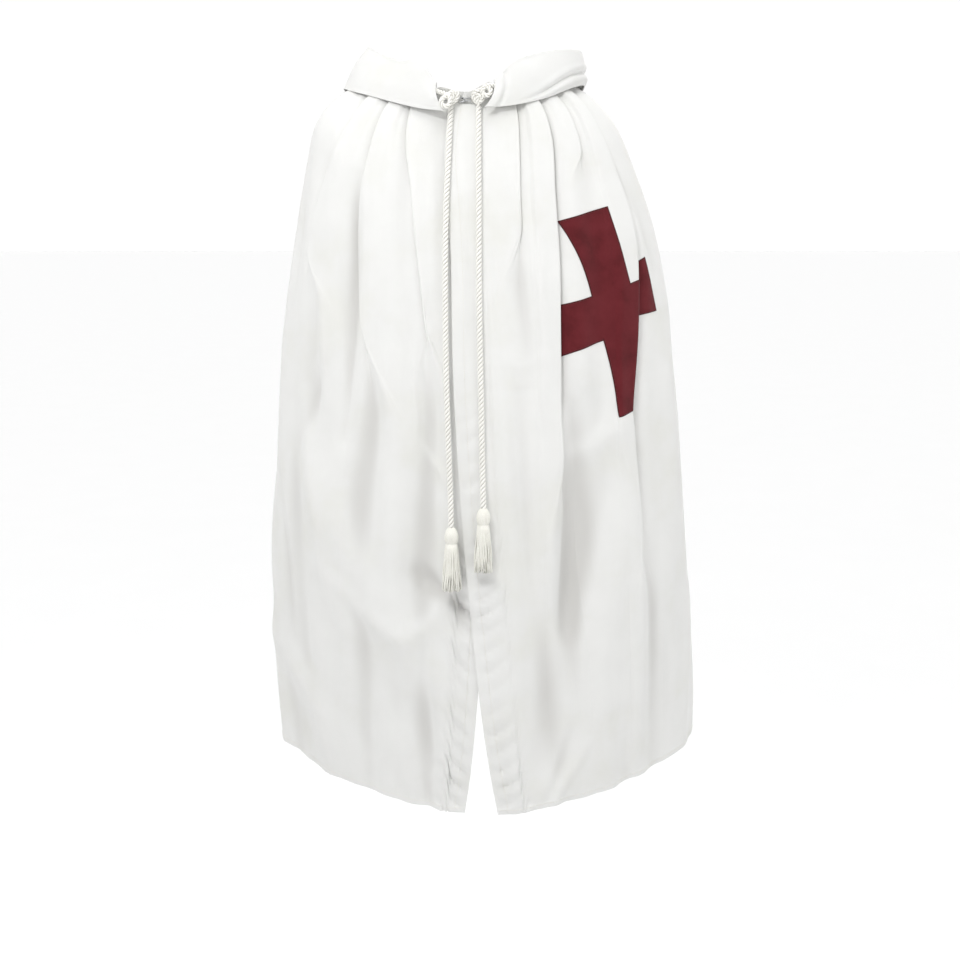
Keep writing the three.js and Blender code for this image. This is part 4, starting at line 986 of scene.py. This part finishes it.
def clippedTo(triangle, piece):  # the part of a convex piece inside a triangle
    a, b, c = triangle
    corners = (a, b, c) if areaOf(a, b, c) > 0 else (a, c, b)
    shape = piece
    for k in range(3):
        a, b = corners[k], corners[(k + 1) % 3]
        kept = []
        for i, p in enumerate(shape):
            q = shape[(i + 1) % len(shape)]
            sideP, sideQ = areaOf(a, b, p), areaOf(a, b, q)
            if sideP >= 0:
                kept.append(p)
            if sideP * sideQ < 0:
                f = sideP / (sideP - sideQ)
                kept.append((mix(p[0], q[0], f), mix(p[1], q[1], f)))
        shape = kept
        if len(shape) < 3:
            return []
    return shape


def makeCross(settings):
    middle = built["left"]
    stops = stopsIn(panelSettings["pleatStops"])
    plainColumns = middle.shape[1] - 5 * len(stops) - 1
    originColumn = plainColumns + (settings["bay"] - 1) * len(stops)
    originRow = int(np.argmin(abs(panelRows - settings["row"])))
    flat = flatCloth(middle, originColumn, originRow) - [settings["outward"], -settings["below"]]
    normal = gridNormals(middle)
    tilt = math.radians(settings["tilt"])
    # the flat cloth turned so that the cross stands square in it
    square = np.stack([flat[..., 0] * math.cos(tilt) + flat[..., 1] * math.sin(tilt),
                       -flat[..., 0] * math.sin(tilt) + flat[..., 1] * math.cos(tilt)], axis=-1)
    pieces = crossPieces(settings)
    boxes = np.array([[min(x for x, _ in p), max(x for x, _ in p), min(y for _, y in p), max(y for _, y in p)]
                      for p in pieces])
    known, points, facets = {}, [], []
    reach = settings["span"] / 2
    inside = (np.abs(square) < reach + 12).all(axis=-1)
    for j, i in zip(*np.nonzero(inside[:-1, :-1])):
        cell = [(j, i), (j + 1, i), (j + 1, i + 1), (j, i + 1)]
        for pick in ((0, 1, 2), (0, 2, 3)):
            where = [cell[k] for k in pick]
            flats = [tuple(square[w]) for w in where]
            whole = areaOf(*flats)
            if abs(whole) < 1e-9:
                continue
            xs, ys = [f[0] for f in flats], [f[1] for f in flats]
            hit = np.nonzero((boxes[:, 0] <= max(xs)) & (boxes[:, 1] >= min(xs)) & (boxes[:, 2] <= max(ys)) &
                             (boxes[:, 3] >= min(ys)))[0]
            for n in hit:
                shape = clippedTo(flats, pieces[n])
                loop = []
                for p in shape:
                    key = (round(p[0], 3), round(p[1], 3))
                    if key not in known:
                        share = [areaOf(p, flats[1], flats[2]) / whole, areaOf(flats[0], p, flats[2]) / whole]
                        share.append(1 - share[0] - share[1])
                        known[key] = len(points)
                        points.append((sum(s * middle[w] for s, w in zip(share, where)),
                                       sum(s * normal[w] for s, w in zip(share, where)), p))
                    if known[key] not in loop:
                        loop.append(known[key])
                if len(loop) > 2:
                    facets.append(loop)
    place = np.array([p[0] for p in points])
    out = unit(np.array([p[1] for p in points]))
    flatPoints = np.array([p[2] for p in points])
    fromEdge = np.array([fromCrossEdge(x, y, settings) for x, y in flatPoints])
    thick = settings["over"] - settings["under"]
    # rounded at its edge, with a shallow groove where the turned edge is sewn
    lift = settings["under"] + thick * (0.35 + 0.65 * ease(0, 0.7, fromEdge))
    lift = lift - 0.22 * bell((fromEdge - 1) / 0.3)
    top = place + out * lift[:, None]
    count = len(points)
    edges = {}
    for loop in facets:
        for a, b in zip(loop, loop[1:] + loop[:1]):
            edges[(a, b)] = edges.get((a, b), 0) + 1
    rim = [[b, a, count + a, count + b] for a, b in edges if (b, a) not in edges]
    under = [[count + v for v in reversed(loop)] for loop in facets]
    piece = makePiece("flared_cross", np.concatenate([top, place + out * settings["under"]]),
                      facets + under + rim, red, ["cross"],
                      np.tile(flatPoints, (2, 1)), {"fromEdge": np.tile(fromEdge, 2)}, sharp=50)
    print(f"cross has {len(facets)} facets")
    return piece, top, out, flatPoints


crossPiece, crossTop, crossOut, crossFlat = makeCross(crossSettings)

# Collar: turned down over its stand, its two wings lifted at the shoulders
collarStations = np.array([
    # angle, roll radius, roll height, fall radius, fall height
    [23, 113, 2, 122, -40],
    [38, 121, 33, 132, -36],
    [56, 143, 48, 155, -22],
    [74, 172, 56, 182, -2],
    [92, 187, 58, 195, 4],
    [114, 170, 46, 192, -16],
    [136, 138, 26, 177, -46],
    [158, 117, 12, 160, -70],
    [180, 110, 7, 154, -78],
    [202, 116, 12, 160, -70],
    [224, 134, 26, 178, -47],
    [246, 156, 50, 196, -18],
    [268, 160, 68, 205, 0],
    [286, 150, 55, 188, -10],
    [304, 132, 36, 160, -25],
    [321, 119, 31, 134, -40],
    [336, 114, -2, 124, -46],
])
lastStation = len(collarStations) - 1
collarSettings = {
    "rollLoop": 3.4,  # half the width of the roll
    "closedLoop": 1.0,  # the same where the collar's ends are sewn shut
    "standLeg": 7,  # mm that the cloth goes down inside, where it joins the neck band
    "cornerLean": 9,  # degrees that the lower corners reach in towards the centre front
    "swell": 4,  # the fall's bulge between its roll and its edge
    "columns": 300,
    "frontRoll": {"width": 19, "rise": 2.6, "groove": 2.6},  # the left wing's front edge rolls over
    "lowerRoll": {"height": 20, "rise": 3.4, "groove": 4.6},  # and so does its lower edge at the shoulder
}


def polar(angle, radius, height):
    return np.stack([radius * np.sin(angle), -radius * np.cos(angle), height + 0 * angle], axis=-1)


def collarPoint(along, down, settings=collarSettings):
    angle, rollRadius, rollHeight, fallRadius, fallHeight = [through(values, along)
                                                             for values in collarStations.T]
    corners = ease(lastStation - 2, lastStation, along) - ease(2, 0, along)
    turned = np.radians(angle)  # the band's leg, the roll and the fall, as `down` goes from 0 to 1, 2 and 3
    closed = 1 - ease(0, 0.5, along) * (1 - ease(lastStation - 0.5, lastStation, along))
    loop = mix(settings["rollLoop"], settings["closedLoop"], closed)
    if down < 1:
        return polar(turned, rollRadius - loop, rollHeight - loop - settings["standLeg"] * (1 - down))
    if down < 2:
        turn = math.pi * (down - 1)
        return polar(turned, rollRadius - loop * math.cos(turn), rollHeight + loop * (math.sin(turn) - 1))
    f = down - 2
    top = polar(turned, rollRadius + loop, rollHeight - loop)
    edge = polar(np.radians(angle + settings["cornerLean"] * corners * f), fallRadius, fallHeight)
    return mix(top, edge, f) + polar(turned, settings["swell"] * math.sin(math.pi * f), 0)


def collarShape(middle, along, settings):  # how far the collar's own rolls and dents move it out
    # `along` counts stations round the collar; `across`, `down` and `fromLower` are mm on the cloth
    across, down = runs(middle)
    fromLower = down[-1] - down
    along = np.broadcast_to(along, across.shape)
    onFall = ease(14, 22, down)
    front, lower = settings["frontRoll"], settings["lowerRoll"]
    left = 1 - ease(2.0, 2.6, along)
    depth = left * onFall * front["rise"] * (1 - ease(front["width"] - 7, front["width"] + 1, across))
    depth -= left * onFall * front["groove"] * bell((across - front["width"] - 3) / 4.5)
    reach = ease(1.1, 2.3, along) * (1 - ease(4.3, 5.4, along))  # from the left wing's corner to its shoulder
    line = mix(5, lower["height"], ease(1.2, 2.9, along))
    depth -= reach * lower["groove"] * bell((fromLower - line) / 4.2)
    depth += reach * lower["rise"] * bell((fromLower - line * 0.5) / (line * 0.36))
    depth += reach * 1.5 * bell((fromLower - line - 9) / 6)
    # the top edge of the left wing dips a little behind its rolled front
    depth -= 2.2 * bell((along - 1.45) / 0.3) * bell((down - 20) / 9)
    soft = 0.9 * np.sin(2.1 * along + 1) * np.sin(down / 17)
    soft = soft + 0.6 * np.sin(3.7 * along) * np.sin(down / 9 + 2)
    depth += onFall * soft * ease(2.5, 5, along) * (1 - 0.6 * ease(11.5, 13, along))
    # edge stitching pulls the cloth in a little, a presser foot's width from the edge
    depth -= 0.35 * onFall * bell((fromLower - 6) / 0.9)
    return depth


collarAlong = np.linspace(0, lastStation, collarSettings["columns"])
collarDown = np.concatenate([np.linspace(0, 1, 4)[:-1], np.linspace(1, 2, 9)[:-1], np.linspace(2, 3, 44)])
collarMiddle = np.array([collarPoint(collarAlong, d) for d in collarDown])
collarDepth = collarShape(collarMiddle, collarAlong, collarSettings)
collarMiddle = collarMiddle + gridNormals(collarMiddle) * collarDepth[..., None]
collarFlat = np.stack(runs(collarMiddle), axis=-1)
collarPiece = makeCloth("turned_down_collar", collarMiddle, "collar", collarFlat)
print("collar made")

# Neck band: stands on the neck seam and leans out to the collar; its ends meet at the centre front
bandSettings = {
    "topRadius": 99,  # the top edge at the centre front
    "topHeight": -12.5,
    "endRise": {"left": 10, "right": 5.5},  # how far its top edge rises beside the collar's two ends
    "standGap": 1.9,  # below the collar's inner leg
    "footRise": 3.3,  # above the neck seam
    "endGapTop": 0.6,  # half the gap between its two ends, wider at the foot, where the hook and eye are
    "endGapFoot": 7.5,
    "partReach": 16,  # degrees over which the ends part
    "centreFront": -2,  # the ends meet a little to the right of the middle
    "centreReach": 60,
    "columns": 300,
    "rows": 12,
}


def bandTop(turn, settings):
    first, end = collarStations[0, 0], collarStations[-1, 0]
    turned = np.mod(turn, 360)
    fine = np.linspace(0, lastStation, 1600)
    leg = collarPoint(np.interp(turned, through(collarStations[:, 0], fine), fine), 0)
    front = (turned < first) | (turned > end)
    f = np.where(turned < 180, turned / first, (360 - turned) / (360 - end))
    radius = mix(settings["topRadius"], np.hypot(leg[..., 0], leg[..., 1]), f)
    rise = np.where(turned < 180, settings["endRise"]["left"], settings["endRise"]["right"])
    rise = rise * ease(0.1, 0.9, f) * (1 - ease(0.93, 1.0, f))
    height = mix(settings["topHeight"], leg[..., 2], np.clip(f, 0, 1) ** 2) + rise
    return np.where(front[..., None], polar(np.radians(turned), radius, height), leg)


def makeBand(settings):
    turn = np.linspace(0, 360, settings["columns"])
    foot = formPoint(np.radians(turn), 0) + [0, 0, settings["footRise"]]
    top = bandTop(turn, settings)
    lean = unit(top - foot)
    slope = unit(bandTop(turn + 1, settings) - bandTop(turn - 1, settings))
    drop = settings["standGap"] + clothWall / 2 * np.hypot(lean[:, 0], lean[:, 1])
    top[:, 2] -= drop / np.maximum(np.hypot(slope[:, 0], slope[:, 1]), 0.6)
    fromEnd = np.minimum(turn, 360 - turn)
    rows = []
    for up in np.linspace(1, 0, settings["rows"]):
        points = mix(foot, top, up)
        part = mix(settings["endGapFoot"], settings["endGapTop"], up)
        part = part * (1 - ease(0, settings["partReach"], fromEnd))
        points[:, 0] += np.where(turn < 180, part, -part)
        points[:, 0] += settings["centreFront"] * (1 - ease(0, settings["centreReach"], fromEnd))
        rows.append(points)
    middle = np.array(rows)
    across, down = runs(middle)
    ripple = 0.35 * np.sin(across / 5.2 + np.sin(across / 13)) * np.sin(np.pi * down / down[-1])
    middle = middle + gridNormals(middle) * ripple[..., None]
    return makeCloth("neck_band_cloth", middle, "neck_band", np.stack([across, down], axis=-1)), middle


bandPiece, bandMiddle = makeBand(bandSettings)
print("neck band made")

# Knots: each cord comes out from under the collar, goes once round itself and is pulled tight.
# The points are listed one by one, in mm; the last one meets the top of the hanging cord.
knotSettings = {
    "radius": 3.9,  # the cord is pressed thinner where it is pulled tight
    "lay": 17,
    "left": [(48, -103, -9), (41, -106, -6.5), (34, -109.5, -6.5), (28, -112.5, -10), (26, -114, -16.5),
             (30.5, -115, -22), (37, -114.5, -20.5), (38.5, -112.5, -14), (33, -110, -9), (26, -109, -11.5),
             (19, -109.8, -15), (13.2, -109.5, -17.5), (11.6, -108, -24), (15.2, -107, -29.5),
             (21, -107.6, -30.5), (25.6, -109.4, -27), (24, -111, -21.5), (19.4, -110.5, -21.5),
             (17.5, -109, -29)],
    "right": [(-48, -103.5, -13), (-41, -106.5, -16.5), (-34, -111, -18.5), (-28, -115.5, -22),
              (-25, -119.5, -29), (-26.5, -122.5, -36), (-32, -124.2, -39.5), (-37.6, -124, -36),
              (-38.2, -122.3, -29.5), (-33, -118.5, -24.5), (-27, -114, -20.5), (-21.5, -111, -16.5),
              (-16, -109.5, -16.5), (-13.4, -108, -22), (-16.2, -107, -28), (-21.8, -107.4, -31),
              (-26, -109, -27.5), (-24.2, -111, -22), (-20.5, -110.2, -23.5), (-22, -109, -31)],
}

for name, hanging in cordLines.items():
    line = denser(np.array(knotSettings[name] + [tuple(hanging[0] + [0, 0, 0.8])], float), 1.1)
    makeRope(f"{name}_pulled_knot", line, knotSettings, f"{name}_loop", sides=10)
print("knots made")

# Hook and eye: bent from wire and sewn to the band's two ends
claspSettings = {
    "place": (-2, -99.2, -26.5),
    "wire": 0.9,  # its radius
    "eye": {"from": -0.85, "to": 0.85, "x": -5, "width": 4.4, "depth": 0, "height": 3.6, "ring": -1},
    "hook": {"from": -0.5, "to": 0.5, "x": 11, "width": -13, "depth": -2.6, "height": 2.2, "ring": 1},
    "foot": 1.7,  # radius of the small rings that the thread goes through
    "threads": 4,  # in each ring
}


def makeClasp(settings):
    for name in ("eye", "hook"):
        bend = settings[name]
        turn = np.pi * np.linspace(bend["from"], bend["to"], 60)
        across = bend["x"] + bend["width"] * np.cos(turn)
        line = settings["place"] + np.stack([across, bend["depth"] * np.cos(turn),
                                             bend["height"] * np.sin(turn)], axis=1)
        wires = [tubeRings(line, settings["wire"], 12)]
        threads = []
        for end, side in ((line[0], -1), (line[-1], 1)):
            ring = np.linspace(0, 2.06 * np.pi, 28)
            foot = end + settings["foot"] * np.stack([np.cos(ring) * bend["ring"], 0 * ring,
                                                      side * 0.9 + np.sin(ring)], axis=1)
            wires.append(tubeRings(foot, settings["wire"] * 0.9, 10))
            centre = foot.mean(axis=0)
            for k in range(settings["threads"]):  # the thread goes over the ring's wire and into the band
                turn = 2 * np.pi * k / settings["threads"] + 0.5
                reach = settings["foot"] * np.array([np.cos(turn), 0, np.sin(turn)])
                arc = np.linspace(0, np.pi, 9)[:, None]
                over = centre + reach * (1 - 0.9 * np.cos(arc)) - [0, 1.3, 0] * np.sin(arc)
                threads.append(tubeRings(over, 0.3, 6))
        makeTubes(f"wire_{name}", wires, steel, [name])
        makeTubes(f"{name}_thread", threads, sewingThread)


makeClasp(claspSettings)
print("hook and eye made")

# Stitches: rows of thread along the facings, the hem and the cross
stitchSettings = {"length": 2.9, "pitch": 4.1, "thread": 0.34, "sunk": 0.3}  # mm; the thread's is its radius


def stitchTubes(line, normals, settings):
    run = runLength(line)
    tubes = []
    start = settings["pitch"]
    lift = settings["thread"] * 1.1 * np.sin(np.linspace(0, np.pi, 5)) - settings["sunk"] * 0.6
    while start + settings["length"] < run[-1] - settings["pitch"]:
        at = start + settings["length"] * np.linspace(0, 1, 5)
        points, up = (np.stack([np.interp(at, run, v) for v in grid.T], axis=1) for grid in (line, normals))
        tubes.append(tubeRings(points + unit(up) * lift[:, None], settings["thread"], 5))
        start += settings["pitch"]
    return tubes


def lineAlong(middle, side, distance):  # a fixed distance in from one side of a panel, on its outer face
    across, down = runs(middle)
    normal = gridNormals(middle)
    outer, run = middle + normal * clothWall / 2, across
    if side == "hem":
        run, outer, normal = down.T, outer.swapaxes(0, 1), normal.swapaxes(0, 1)
    at = np.full(len(run), distance) if side == "first" else run[:, -1] - distance
    return [np.array([[np.interp(at[j], run[j], grid[j, :, k]) for k in range(3)] for j in range(len(run))])
            for grid in (outer, normal)]


def crossStitchLine(settings):  # the outline, a turned edge's width inside, carried onto the red cloth
    waist, half, inset = settings["waist"] / 2, settings["span"] / 2, settings["turnedEdge"]
    f = np.linspace(0, 1, 40)
    side = np.stack([mix(waist, half - inset, f), armWidth(f, settings) - inset], axis=1)
    arm = np.concatenate([side * [1, -1], side[::-1]])
    outline = np.concatenate([arm, arm @ [[0, 1], [-1, 0]], -arm, arm @ [[0, -1], [1, 0]]])
    line = denser(np.pad(outline, ((0, 0), (0, 1))), 1.0)[:, :2]
    spots, normals = [], []
    for p in line:
        far = np.hypot(*(crossFlat - p).T)
        nearest = np.argsort(far)[:4]
        weights = 1 / (far[nearest] + 0.05)
        spots.append(weights @ crossTop[nearest] / weights.sum())
        normals.append(weights @ crossOut[nearest] / weights.sum())
    return np.array(spots), np.array(normals)


for name, middle in built.items():
    tubes = stitchTubes(*lineAlong(middle, "hem", hem["stitchLine"]), stitchSettings)
    for side, kind in panels[name]["edges"]:
        if kind == "facing":
            tubes += stitchTubes(*lineAlong(middle, side, facing["stitchLine"]), stitchSettings)
    makeTubes(f"{name}_stitching", tubes, sewingThread)
crossStitching = makeTubes("cross_stitching", stitchTubes(*crossStitchLine(crossSettings), stitchSettings),
                           redThread)
print("stitches made")


# Floor, light and surroundings
stageSettings = {"floorHeight": -2.9, "floorSize": 240, "floor": "#FBFBFB", "world": "#FFFFFF",
                 "horizonLight": 1.02, "overheadLight": 0.12, "skyLight": 2.6, "skySoftness": 75}


def makeStage(settings):
    material, tree = newMaterial("painted_studio_floor")  # matt paint: pale and even, faintly mottled
    place = addNode(tree, "TexCoord").outputs["Object"]
    mottle = addNode(tree, "TexNoise", {"Vector": place, "Scale": 2.0, "Detail": 3.0})
    tone = addNode(tree, "ValToRGB", {"Fac": mottle}, [(0.3, "#FAFAFA"), (0.7, settings["floor"])])
    finishMaterial(material, {"Base Color": tone, "Roughness": 0.8, "Specular IOR Level": 0.2})
    half = settings["floorSize"] / 2
    mesh = bpy.data.meshes.new("studio_floor")
    corners = [(-half, -half, 0), (half, -half, 0), (half, half, 0), (-half, half, 0)]
    mesh.from_pydata(corners, [], [(0, 1, 2, 3)])
    mesh.materials.append(material)
    floor = bpy.data.objects.new("studio_floor", mesh)
    floor.location.z = settings["floorHeight"]
    bpy.context.collection.objects.link(floor)
    world = bpy.data.worlds.new("pale_studio")
    world.use_nodes = True
    # white round the horizon, dimmer overhead, so that the lamps can model the folds
    tree = world.node_tree
    around = addNode(tree, "TexCoord").outputs["Generated"]
    split = addNode(tree, "SeparateXYZ", {"Vector": around})
    strength = addNode(tree, "MapRange", {"Value": split.outputs["Z"], "From Min": 0.2, "From Max": 0.42,
                                          "To Min": settings["horizonLight"],
                                          "To Max": settings["overheadLight"]})
    background = tree.nodes["Background"]
    background.inputs["Color"].default_value = hexColour(settings["world"])
    tree.links.new(strength.outputs[0], background.inputs["Strength"])
    bpy.context.scene.world = world
    sky = bpy.data.lights.new("ceiling_light", "SUN")  # falls straight down, very soft
    sky.energy = settings["skyLight"]
    sky.angle = math.radians(settings["skySoftness"])
    bpy.context.collection.objects.link(bpy.data.objects.new("ceiling_light", sky))


softboxes = {
    "high_front": {"place": (-0.55, -1.45, 0.95), "size": 0.4, "power": 13},
    "right_side": {"place": (2.1, -0.9, 0.3), "size": 0.8, "power": 5},
    "behind": {"place": (1.2, 2.2, 1.2), "size": 1.0, "power": 16},
}


def makeLights():
    for name, box in softboxes.items():
        data = bpy.data.lights.new(name, "AREA")
        data.size = box["size"]
        data.energy = box["power"]
        lamp = bpy.data.objects.new(name, data)
        lamp.location = box["place"]
        aim = Vector((0.03, 0, -0.45)) - Vector(box["place"])
        lamp.rotation_euler = aim.to_track_quat("-Z", "Y").to_euler()
        bpy.context.collection.objects.link(lamp)


makeStage(stageSettings)
makeLights()
bpy.context.scene.view_settings.view_transform = "Standard"
print("stage and lights set")
